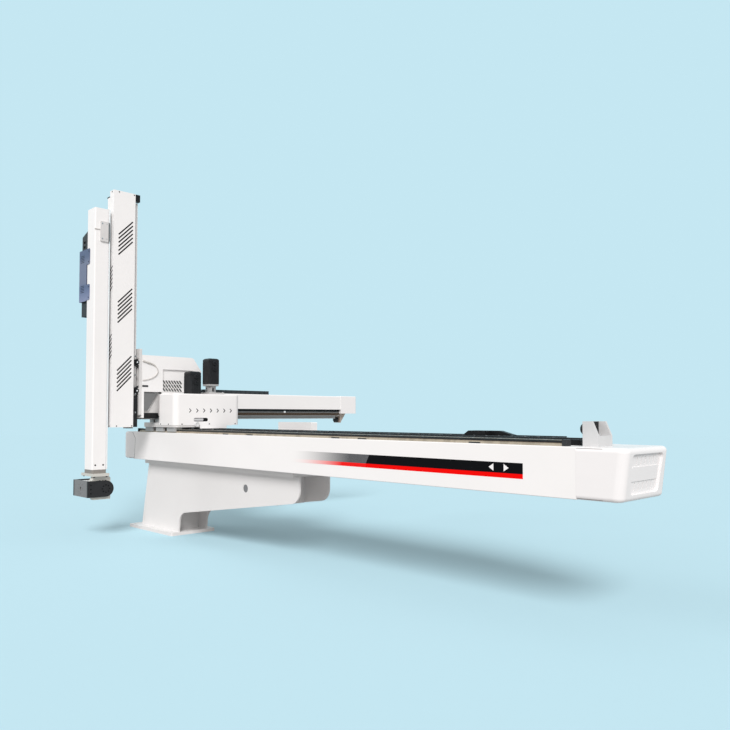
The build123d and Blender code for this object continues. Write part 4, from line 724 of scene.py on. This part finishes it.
class MANIPULATOR_OT_finishes(bpy.types.Operator):
    """Make the finishes and give them to the solids of the frame"""

    bl_idname = "manipulator.finishes"
    bl_label = "Finishes"

    def execute(self, context):
        tone = {key: tuple(getattr(settings().colours, key))
                for key in ManipulatorColours.__annotations__}
        steel, alloy, black = tone["steel"], tone["aluminium"], tone["black"]
        dress(painted("white_paint", tone["paint"]),
              "cross_beam", "carriage_cover", "chain_bracket", "kick_side_cover",
              "front_bracket", "lift_motor_cover", "mast_profile", "mast_cover", "arm_tube",
              "terminal_box", "belt_guard")
        # The pedestal takes the white paint darkened: painted shade from the beam above it.
        dress(painted("pedestal_paint", shade(tone["paint"], 0.88)), "pedestal")
        dress(moulded("white_moulding", tone["moulding"]),
              "end_cap_left", "end_cap_right", "kick_end_cap")
        dress(machined("milled_plate", alloy, "x"), "carriage_plate", "kick_stop_block")
        dress(machined("base_plate_grey", shade(alloy, 0.75), "x"), "kick_motor_base")
        dress(machined("wrist_cream", tone["cream"], "z", 0.42, 0.25, 0.06), "wrist_hanger")
        dress(machined("bracket_tan", tone["tan"], "x", 0.4, 0.4), "kick_stop_bracket")
        dress(machined("milled_upright", alloy, "z"), "lift_plate", "belt_clamp_plate")
        dress(machined("beam_extrusion", shade(alloy, 0.95), "y", 0.45), "kick_beam")
        dress(machined("actuator_body", shade(alloy, 1.25), "x", 0.5, 0.3, 0.05), "flip_actuator")
        dress(beam_rail("rail_along_beam", tone["rail"], black), "traverse_rails")
        dress(machined("rail_along_kick", shade(alloy, 0.6), "y", 0.4, 0.3), "kick_rails")
        dress(machined("rack_bronze", tone["bronze"], "y", 0.35, 0.5, 0.3), "kick_rack")
        dress(machined("rail_upright", tone["rail"], "z", 0.4), "mast_rails", "arm_rails")
        dress(machined("block_steel_x", steel, "x", 0.32), "traverse_guide_blocks")
        dress(machined("block_steel_y", steel, "y", 0.32), "kick_guide_blocks")
        dress(machined("block_steel_z", steel, "z", 0.32), "lift_guide_blocks", "arm_guide_blocks")
        dress(machined("turned_steel", steel, "x", 0.35, 0.5), "traverse_pinion", "kick_pinion",
              "lift_drive_pulley", "transfer_pulley_lower", "transfer_pulley_upper")
        dress(oxide("black_oxide", black), "traverse_rack", "mast_stops", "cable_tray",
              "lift_idler_lower", "lift_idler_upper")
        dress(machined("neck_steel", shade(steel, 0.9), "z", 0.3), "kick_motor_neck")
        dress(servo_black("servo_black", black), "servo_motors", "lift_gearmotor")
        dress(servo_black("channel_black", shade(black, 1.2)), "cable_channel")
        dress(blasted("blasted_casting", tone["casting"]), "traverse_stop_brackets",
              "drive_housings")
        dress(blasted("adapter_grey", (0.27, 0.25, 0.23)), "arm_adapter")
        dress(blasted("cheek_anodised", tone["cheek"], 0.55, 0.0), "flip_cheeks")
        dress(blasted("tool_anodised", tone["tool"], 0.55, 0.1), "tool_plate")
        dress(rubbery("bumper_rubber", black), "traverse_end_stops", "kick_bumper")
        dress(ribbed_belt("toothed_belt", black, BELT_RIB), "mast_belts", "lift_belt_loop")
        dress(chain_plastic("chain_along_beam", black, "X", CHAIN_LINK), "traverse_cable_chain")
        dress(chain_plastic("chain_along_kick", black, "Y", CHAIN_LINK), "kick_cable_chain")
        dress(faded_box("box_paint", tone["box_dark"], tone["box_light"]), "valve_box")
        dress(rubbery("wire_sheath", tone["wire"], 0.55), "motor_wire")
        socket_steel("screw_black", (0.03, 0.03, 0.032))
        socket_steel("screw_bright", (0.45, 0.45, 0.46))
        foil("mark_grey", (0.03, 0.03, 0.033))
        foil("vent_dark", (0.01, 0.012, 0.02))
        blasted("plug_grey", (0.22, 0.22, 0.225))
        # Grey of the painted shade panel on the kick beam's bracket.
        blasted("panel_grey", (0.2, 0.2, 0.2))
        machined("boss_alloy", (0.7, 0.7, 0.7), "x", 0.3)
        machined("socket_alloy", (0.6, 0.6, 0.61), "y", 0.35)
        return {"FINISHED"}


class MANIPULATOR_OT_livery(bpy.types.Operator):
    """Lay the foil with its fade, black band, red strip and two triangles on the beam"""

    bl_idname = "manipulator.livery"
    bl_label = "Beam livery"

    def execute(self, context):
        colours, livery = settings().colours, sizes(settings().livery)
        beam_foil("foil_fade", colours, settings().livery)
        foil("foil_black", (0.006, 0.006, 0.007))
        foil("foil_red", tuple(colours.stripe))
        foil("foil_white", tuple(colours.paint))
        front = in_mm(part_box("cross_beam"))[0].y
        fade, start, end = livery.fade_start, livery.band_start, livery.band_end
        low, split, high = livery.low, livery.middle, livery.high
        lean = start + livery.band_slant
        for name, finish, outline in (
            ("livery_fade", "foil_fade",
             [(fade, low), (start, low), (start, split), (lean, high), (fade, high)]),
            ("livery_band", "foil_black",
             [(start, split), (end, split), (end, high), (lean, high)]),
            ("livery_strip", "foil_red",
             [(start, low), (end, low), (end, split), (start, split)]),
        ):
            put(name, "root", finish, plates(front, livery.thickness, outline))
        height, tall = (high + split) / 2, livery.mark_height / 2
        put("livery_triangles", "root", "foil_white", plates(
            front - livery.thickness, livery.thickness / 2, *(
                [(middle + reach, height), (middle - reach, height + tall),
                 (middle - reach, height - tall)]
                for middle, reach in ((livery.mark_left, -livery.mark_width / 2),
                                      (livery.mark_right, livery.mark_width / 2)))))
        return {"FINISHED"}


class MANIPULATOR_OT_rail_screws(bpy.types.Operator):
    """Set the screws of the guide rails and of the beam's seat, and the trim beside them"""

    bl_idname = "manipulator.rail_screws"
    bl_label = "Rail screws and trim"

    def execute(self, context):
        fixings = sizes(settings().fixings)
        head, black = fixings.rail_head, "screw_black"
        low = in_mm(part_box("traverse_rails"))[0]
        seat = in_mm(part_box("cross_beam"))[0].z - 32
        pad_places, pad_size = (1058, 1345, 2203, 2427, 3206), (66, 3, 6)
        pads = [bar_row((x, low.y - 1, low.z + 3), NO_STEP, 1, pad_size, black)
                for x in pad_places]
        repeat("beam_screws", "root", [
            *self.rail(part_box("traverse_rails"), "xyz", 28, head),
            screw_row((-60, 145, seat), (200, 0, 0), 10, fixings.plate_head, 8, black,
                      UPSIDE_DOWN), *pads])
        self.trim()
        repeat("kick_rail_screws", "kick",
               self.rail(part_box("kick_rails"), "yxz", 28, head, UPSIDE_DOWN))
        repeat("mast_rail_screws", "mast",
               self.rail(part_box("mast_rails"), "zxy", 28, head, TO_BACK))
        repeat("arm_rail_screws", "arm",
               self.rail(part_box("arm_rails"), "zxy", 20, head * 0.75, TO_BACK))
        return {"FINISHED"}

    def rail(self, box, axes, width, head, turn=(0, 0, 0)):
        """Rows of screws in two rails; axes names the way along, across and out of them."""
        low, high = in_mm(box)
        along, across, out = ("xyz".index(axis) for axis in axes)
        pitch = sizes(settings().fixings).rail_pitch
        sunk, height = 0.2, 1.2
        rows = []
        for middle in (low[across] + width / 2, high[across] - width / 2):
            start, step = [0, 0, 0], [0, 0, 0]
            start[along], step[along] = low[along] + pitch / 2, pitch
            start[across] = middle
            start[out] = low[out] + sunk if turn == UPSIDE_DOWN else high[out] - sunk
            rows.append(screw_row(start, step, int((high[along] - low[along]) / pitch), head,
                                  height, "screw_bright", turn))
        return rows

    def trim(self):
        """Add the cap's seam, the pedestal's plug, black sheets of painted shade inside the
        brackets and a cover's end.
        """
        front = min(corner.y for corner in in_mm((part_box("cross_beam")[0],
                                                  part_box("end_cap_left")[0])))
        put("cap_seam", "root", "screw_black", plates(
            front, 0.5, *strokes([(-274, 788), (-225, 737), (-240, 572)], 2.4)))
        put("pedestal_plug", "root", "plug_grey", turned(
            [(27, 0), (27, 2), (20, 3)], "y", (1228, -126, 424.5)))
        low, high = in_mm(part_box("traverse_stop_brackets"))
        bracket, skin = 58, 0.5
        # Black sheets on the inner face of each bracket's back plate, between its gussets: painted
        # shade of the recess.
        put("bracket_recesses", "root", "black_oxide", blocks(*(
            ((x, -125, low.z + 46), (x + skin, -20, high.z - 1))
            for x in (low.x + bracket - skin, high.x - bracket))))
        top = in_mm(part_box("cable_tray"))[1].z
        put("loop_cover_end", "root", "black_oxide", plates(
            295, 85, [(2837, top - 22), (2870, top), (2988, top), (2988, top - 22)]), 1.5)


class MANIPULATOR_OT_carriage_marks(bpy.types.Operator):
    """Print the row of arrows, set the cover's fittings with a black sheet of painted shade behind
    its slot, and shape the servo motors
    """

    bl_idname = "manipulator.carriage_marks"
    bl_label = "Carriage marks and fittings"

    def execute(self, context):
        fixings = sizes(settings().fixings)
        low, high = in_mm(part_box("carriage_cover"))
        side, floor = high.x, low.z
        arm, stroke = fixings.arrow_arm, fixings.arrow_stroke
        diagonal = 0.7071
        shift = arm * diagonal / 2 - stroke * 0.25
        repeat("cover_arrows", "carriage", [
            bar_row((side, -76.7, floor + 114.5 + way * shift), (0, fixings.arrow_pitch, 0), 7,
                    (0.5, arm, stroke), "mark_grey", (radians(-45 * way), 0, 0))
            for way in (1, -1)])
        edge = floor + 9
        repeat("cover_screws", "carriage", [
            screw_row((side - SUNK, -148, edge), (0, 242, 0), 3, fixings.cover_head, 2.5,
                      "screw_black", ALONG_X),
            screw_row((196, low.y + SUNK, edge), (120, 0, 0), 2, fixings.cover_head, 2.5,
                      "screw_black", TO_FRONT)])
        put("cover_boss", "carriage", "boss_alloy", turned(
            [(23, 0), (23, 5), (20, 7), (19, 12), (13, 13), (12, 9)], "x",
            (side - SUNK, -20, floor + 7)))
        put("cover_socket", "carriage", "socket_alloy", turned(
            [(11.5, 0), (12.5, 2), (12.5, 84), (9, 88)], "y", (side - 15, -44, floor + 43)))
        # A black sheet behind the cover's slot: painted shade inside the slot.
        put("cover_slot_back", "carriage", "black_oxide", blocks(
            ((side - 24, -50, floor + 22), (side - 12, 90, floor + 64))))
        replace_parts(add_piece("servo_shells", self.motor_shells(), "carriage",
                              "servo_black"), "servo_motors")

        low, high = in_mm(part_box("kick_motor_base"))
        inset = 11
        repeat("motor_screws", "carriage", [
            screw_row((low.x + inset, y, high.z - SUNK), (high.x - low.x - 2 * inset, 0, 0), 2,
                      fixings.plate_head * 0.8, 5, "screw_bright")
            for y in (low.y + inset, high.y - inset)])
        return {"FINISHED"}

    def motor_shells(self):
        """Two ribbed servo motors with a rounded head and two plug sockets each."""
        half, corner, rib, depth, head_height = 52, 12, 4, 3, 30
        edge = [(-half + corner, half)]
        for middle in (-30, -15, 0, 15, 30):
            edge += [(middle - rib, half), (middle - rib / 2, half - depth),
                     (middle + rib / 2, half - depth), (middle + rib, half)]
        edge += [(half - corner, half), (half - corner * 0.3, half - corner * 0.3)]
        outline = []
        for _ in range(4):
            outline += edge
            edge = [(y, -x) for x, y in edge]

        def build(bm):
            for x, y, foot, top in ((300, 6, 1070, 1274), (196, 239, 1182, 1395)):
                head = top - head_height
                join_rings(bm, [[bm.verts.new(metres((x + u * scale, y + v * scale, height)))
                                 for u, v in outline]
                                for scale, height in ((0.97, foot), (1, foot + 3), (1, head))])
                add_turned(bm, [(66, 0), (68, 2), (68, 17), (62, 25), (50, head_height)],
                           (x, y, head), "z", 4, 45)
                for drop in (12, 60):
                    add_turned(bm, [(20, 0), (20, 8), (16, 15), (8, 15), (7, 9)],
                               (x + half - 6, y, head - drop), "x", 6)

        return mesh_from("servo_shells", build, 1.5)


class MANIPULATOR_OT_kick_fittings(bpy.types.Operator):
    """Fit the sensor, the guard strip and the looped wire on the kick beam, with painted shade:
    black sheets in the side's gap and behind the cover's vents, and a grey panel on the bracket
    """

    bl_idname = "manipulator.kick_fittings"
    bl_label = "Kick beam fittings"

    def execute(self, context):
        low, high = in_mm(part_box("kick_beam"))
        side, floor = high.x, low.z
        gusset, skin = side + 12, 0.6
        slot_start, slot_end = 110, 1738
        cover = in_mm(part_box("lift_motor_cover"))[1].x
        repeat("vent_marks", "kick", [
            bar_row((cover - 14, -152, 1129 + 31 * row), (0, 24, 0), 7, (1, 33, 11),
                    "foil_black", (-atan2(26, 20), 0, 0)) for row in range(3)])
        # The first block is a black guard under the front bracket; the thin second one is painted
        # shade of the gap under the side cover's skirt.
        put("kick_guide_strip", "kick", "black_oxide", blocks(
            ((side, -330, floor - 18), (gusset, -204, floor + 24)),
            ((side, slot_start, floor + 28), (side + skin, slot_end, floor + 62))))
        put("kick_light_line", "kick", "rail_along_kick", blocks(
            ((side + skin, slot_start, floor + 33), (side + 2 * skin, slot_end, floor + 37))))
        put("kick_sensor", "kick", "white_paint", blocks(
            ((side, 1052, floor + 28), (side + 14, 1066, floor + 44))), 1.2)
        # A grey sheet and a black line on the bracket's gusset: painted shade of the beam's side
        # beside the bracket.
        put("bracket_panel", "kick", "panel_grey", plates(
            gusset, skin, [(-328, 961), (-293, 961), (-212, 1098), (-212, 1107), (-328, 1107)],
            across="x"))
        put("bracket_panel_line", "kick", "black_oxide", blocks(
            ((gusset + skin, -322, 1101), (gusset + 2 * skin, -240, 1106))))
        put("cover_grommet", "kick", "bumper_rubber", blocks(
            ((cover - SUNK, -346, 1147), (cover + 3, -297, 1161))), 1)
        # A black sheet behind the cover's vents: painted shade inside the vents.
        put("cover_vent_back", "kick", "black_oxide", blocks(
            ((cover - 19, -165, 1117), (cover - 17.2, 15, 1205))))

        route = ((-344, 1350), (-300, 1338), (-254.5, 1323), (-228.4, 1302.8), (-217.7, 1274.6),
                 (-230.3, 1245.4), (-253.4, 1225.4), (-294.2, 1208.7), (-344.8, 1198.4))
        radii = (7, 7, 5.5) + 6 * (2.8,)
        wire = swept("cover_wire", [(cover + 7, y, z) for y, z in route], radii)
        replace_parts(add_piece("cover_wire", wire, "kick", "wire_sheath"), "motor_wire")

        middles = []
        for name in ("upper", "lower"):
            low, high = in_mm(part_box(f"lift_idler_{name}"))
            middles.append((139, (low.y + high.y) / 2, (low.z + high.z) / 2))
        for name, radius, height, finish in (("idler_caps", 17, 3, "black_oxide"),
                                             ("idler_pins", 6, 5, "white_paint")):
            profile = [(radius, 0), (radius, height * 0.7), (radius * 0.8, height)]
            put(name, "kick", finish, turned(profile, "x", *middles))

        low, high = in_mm(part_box("lift_plate"))
        repeat("lift_plate_screws", "kick", [
            screw_row((x, low.y + SUNK, low.z + 20), (0, 0, 145), 4,
                      sizes(settings().fixings).plate_head, 6, "screw_bright", TO_FRONT)
            for x in (low.x + 14, high.x - 14)])
        return {"FINISHED"}


class MANIPULATOR_OT_mast_fittings(bpy.types.Operator):
    """Set the screws of the mast's cover sheet, mark its slots in black with painted shade behind
    them as black liners, and close the mast's back
    """

    bl_idname = "manipulator.mast_fittings"
    bl_label = "Mast fittings"

    def execute(self, context):
        head, black = sizes(settings().fixings).cover_head, "screw_black"
        low, high = in_mm(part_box("mast_cover"))
        rows = []
        for z in (low.z + 10, high.z - 10):
            rows += [screw_row((high.x - SUNK, -543, z), (0, 122, 0), 2, head, 2.5, black,
                               ALONG_X),
                     screw_row((103, low.y + SUNK, z), NO_STEP, 1, head, 2.5, black, TO_FRONT)]
        repeat("mast_cover_screws", "mast", rows)

        group_pitch, slot_step, in_group, proud = 521, (0, 0, -31), 6, 0.8
        side_slope, front_slope = atan2(116, 114), atan2(37, 44)
        side_marks = [
            bar_row((high.x, -487, high.z - (280 + group_pitch * group)), slot_step, in_group,
                    (proud, 162.6, 10), "foil_black", (side_slope, 0, 0))
            for group in range(3)]
        front_marks = [
            bar_row((104, low.y, high.z - (601.5 + group_pitch * group)), slot_step, in_group,
                    (50, proud, 9), "foil_black", (0, -front_slope, 0))
            for group in range(2)]
        repeat("slot_marks", "mast", side_marks + front_marks)

        back = in_mm(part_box("mast_profile"))[1].y
        put("belt_shroud", "mast", "servo_black", blocks(
            ((high.x - 39, back + 4.2, low.z + 1), (high.x - 6, back + 38, low.z + 244))), 2)
        # Black sheets behind the side and front slots: painted shade inside the mast's pocket.
        put("slot_liners", "mast", "channel_black", blocks(
            ((high.x - 5, -566, low.z + 250), (high.x - 4.2, -424, high.z - 190)),
            ((high.x - 60, low.y + 3.6, low.z + 490), (high.x - 5, low.y + 4, high.z - 570))))
        return {"FINISHED"}


class MANIPULATOR_OT_arm_fittings(bpy.types.Operator):
    """Set the arm's small parts: screws, hole marks, belt end, wire stub, strip and vents"""

    bl_idname = "manipulator.arm_fittings"
    bl_label = "Arm fittings"

    def execute(self, context):
        low, high = in_mm(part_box("belt_clamp_plate"))
        repeat("clamp_screws", "arm", [
            screw_row((high.x - SUNK, y, low.z + 20), (0, 0, 114), 2, radius, height,
                      "screw_bright", ALONG_X)
            for y, radius, height in ((low.y + 13, 5, 3), (high.y - 13, 3, 2))])
        foot, top = in_mm(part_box("arm_tube"))
        repeat("tube_hole_marks", "arm", [
            screw_row((top.x - 0.2, -695.5, foot.z + 34), (0, 60, 0), 2, 6.5, 0.8,
                      "foil_black", ALONG_X)])
        put("tube_back_strip", "arm", "white_paint", blocks(
            ((top.x - 50, top.y - 1, foot.z), (top.x, top.y + 8, top.z))), 0.8)
        put("clamp_belt_end", "arm", "toothed_belt", blocks(
            ((low.x, high.y, low.z + 4), (high.x - 1, high.y + 9, high.z - 4))), 0.8)
        put("clamp_wire_stub", "arm", "wire_sheath", turned(
            [(2, 0), (3, 1), (3, 44), (2, 45)], "y", (low.x + 3.2, low.y - 44, low.z + 88),
            steps=14))

        low, high = in_mm(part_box("valve_box"))
        repeat("valve_vents", "arm", [
            bar_row((low.x + 60, low.y, z), (0, 0, -12), 5, (62, 0.6, 4), "vent_dark")
            for z in (high.z - 45, low.z + 120)])
        repeat("valve_screws", "arm", [
            screw_row((high.x - 14, low.y + SUNK, z), (0, 0, 80), 2,
                      sizes(settings().fixings).cover_head, 2.5, "screw_black", TO_FRONT)
            for z in (low.z + 24, high.z - 100)])
        return {"FINISHED"}


class MANIPULATOR_OT_wrist_fittings(bpy.types.Operator):
    """Set the screws of the wrist's flange and of the cheek, and mark the cheek's holes"""

    bl_idname = "manipulator.wrist_fittings"
    bl_label = "Wrist fittings"

    def execute(self, context):
        flange = in_mm(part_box("wrist_hanger"))[1].z - 20
        repeat("wrist_flange_screws", "arm", [
            screw_row((x, y, flange + SUNK), NO_STEP, 1, 7, 7, "screw_black", UPSIDE_DOWN)
            for x in (-40, 142) for y in (-712, -618)])

        high = in_mm(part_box("flip_cheeks"))[1]
        face, circle, pivot_y, pivot_z = high.x - 0.2, 28.5, -621, 380
        holes = [screw_row((face, pivot_y + circle * cos(turn), pivot_z + circle * sin(turn)),
                           NO_STEP, 1, 4.5, 0.9, "foil_black", ALONG_X)
                 for turn in (radians(45 * step) for step in range(8))]
        holes.append(screw_row((face, -735, 350), (0, 0, 30.5), 3, 5, 0.9, "foil_black", ALONG_X))
        repeat("cheek_marks", "flip_unit", holes)
        repeat("cheek_edge_screws", "flip_unit", [
            screw_row((high.x - 9, -664, high.z - SUNK), (0, 22, 0), 3, 4.5, 4, "screw_black")])
        return {"FINISHED"}


class MANIPULATOR_OT_stage(bpy.types.Operator):
    """Set the floor, the lamps, the background and the camera"""

    bl_idname = "manipulator.stage"
    bl_label = "Stage"

    def execute(self, context):
        stage = settings().stage
        scene = context.scene
        tone = tuple(stage.backdrop)

        world = bpy.data.worlds.new("studio")
        world.use_nodes = True
        graph = Graph(world.node_tree)
        seen = seen_directly(graph)
        light = graph.add("ShaderNodeBackground", {}, {"Color": (*stage.warmth, 1),
                                                       "Strength": stage.ambient})
        shown = graph.add("ShaderNodeBackground", {}, {"Color": (*tone, 1), "Strength": 1.0})
        both = graph.add("ShaderNodeMixShader", {}, {0: seen, 1: light, 2: shown})
        graph.add("ShaderNodeOutputWorld", {}, {"Surface": both})
        scene.world = world

        sources = (("key", stage.key, Vector((0.62, -0.6, 0.6))),
                   ("fill", stage.fill, Vector((-0.75, -0.5, 0.45))))
        level = stage.ambient + sum(power * source.normalized().z / pi
                                    for _, power, source in sources)
        wide = 30000
        floor = bpy.data.objects.new("floor", mesh_from("floor", blocks(
            ((-wide, -wide, -20), (wide, wide, 0)))))
        floor.data.materials.append(self.floor_finish(
            tuple(part / (level * tint) for part, tint in zip(tone, stage.warmth))))
        scene.collection.objects.link(floor)
        for name, power, source in sources:
            self.lamp(name, power, source, stage)

        camera = bpy.data.cameras.new("camera")
        camera.lens = stage.lens
        camera.sensor_width = 36
        camera.shift_y = stage.shift
        camera.clip_end = 200
        holder = bpy.data.objects.new("camera", camera)
        holder.location = stage.camera
        holder.rotation_euler = (radians(90) + stage.tilt, 0, stage.turn)
        scene.collection.objects.link(holder)
        scene.camera = holder
        scene.view_settings.view_transform = "Standard"
        return {"FINISHED"}

    def floor_finish(self, tone):
        """The floor looks like the background from afar and keeps the object's shadow."""
        finish = Finish("floor_sweep")
        paper = finish.mix(finish.noise(0.8), shade(tone, 0.99), tone)
        grey = (sum(tone) / 3 * 0.6,) * 3
        colour = finish.mix(seen_directly(finish), grey, paper)
        surface = finish.add("ShaderNodeBsdfDiffuse", {}, {"Color": colour})
        finish.add("ShaderNodeOutputMaterial", {}, {"Surface": surface})
        return finish.material

    def lamp(self, name, strength, source, stage):
        """A soft, even lamp that shines from a direction."""
        light = bpy.data.lights.new(name, "SUN")
        light.energy, light.angle, light.color = strength, stage.softness, stage.warmth
        holder = bpy.data.objects.new(name, light)
        holder.rotation_euler = source.to_track_quat("Z", "Y").to_euler()
        bpy.context.scene.collection.objects.link(holder)


OPERATORS = (
    MANIPULATOR_OT_finishes,
    MANIPULATOR_OT_livery,
    MANIPULATOR_OT_rail_screws,
    MANIPULATOR_OT_carriage_marks,
    MANIPULATOR_OT_kick_fittings,
    MANIPULATOR_OT_mast_fittings,
    MANIPULATOR_OT_arm_fittings,
    MANIPULATOR_OT_wrist_fittings,
    MANIPULATOR_OT_stage,
)


class MANIPULATOR_PT_sidebar(bpy.types.Panel):
    """Lists the operators and their values in the sidebar"""

    bl_label = "Manipulator"
    bl_idname = "MANIPULATOR_PT_sidebar"
    bl_space_type = "VIEW_3D"
    bl_region_type = "UI"
    bl_category = "Manipulator"

    def draw(self, context):
        for operator in OPERATORS:
            self.layout.operator(operator.bl_idname)
        for group in (settings().colours, settings().livery, settings().fixings,
                      settings().stage):
            box = self.layout.box()
            for name in type(group).__annotations__:
                box.prop(group, name)


CLASSES = (
    ManipulatorColours, ManipulatorLivery, ManipulatorFixings, ManipulatorStage,
    ManipulatorSettings, *OPERATORS, MANIPULATOR_PT_sidebar,
)


def register():
    for cls in CLASSES:
        bpy.utils.register_class(cls)
    bpy.types.Scene.manipulator = bpy.props.PointerProperty(type=ManipulatorSettings)


def unregister():
    del bpy.types.Scene.manipulator
    for cls in reversed(CLASSES):
        bpy.utils.unregister_class(cls)


def main():
    """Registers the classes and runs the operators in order."""
    register()
    for operator in OPERATORS:
        group, name = operator.bl_idname.split(".")
        getattr(getattr(bpy.ops, group), name)()


if __name__ == "__main__":
    main()
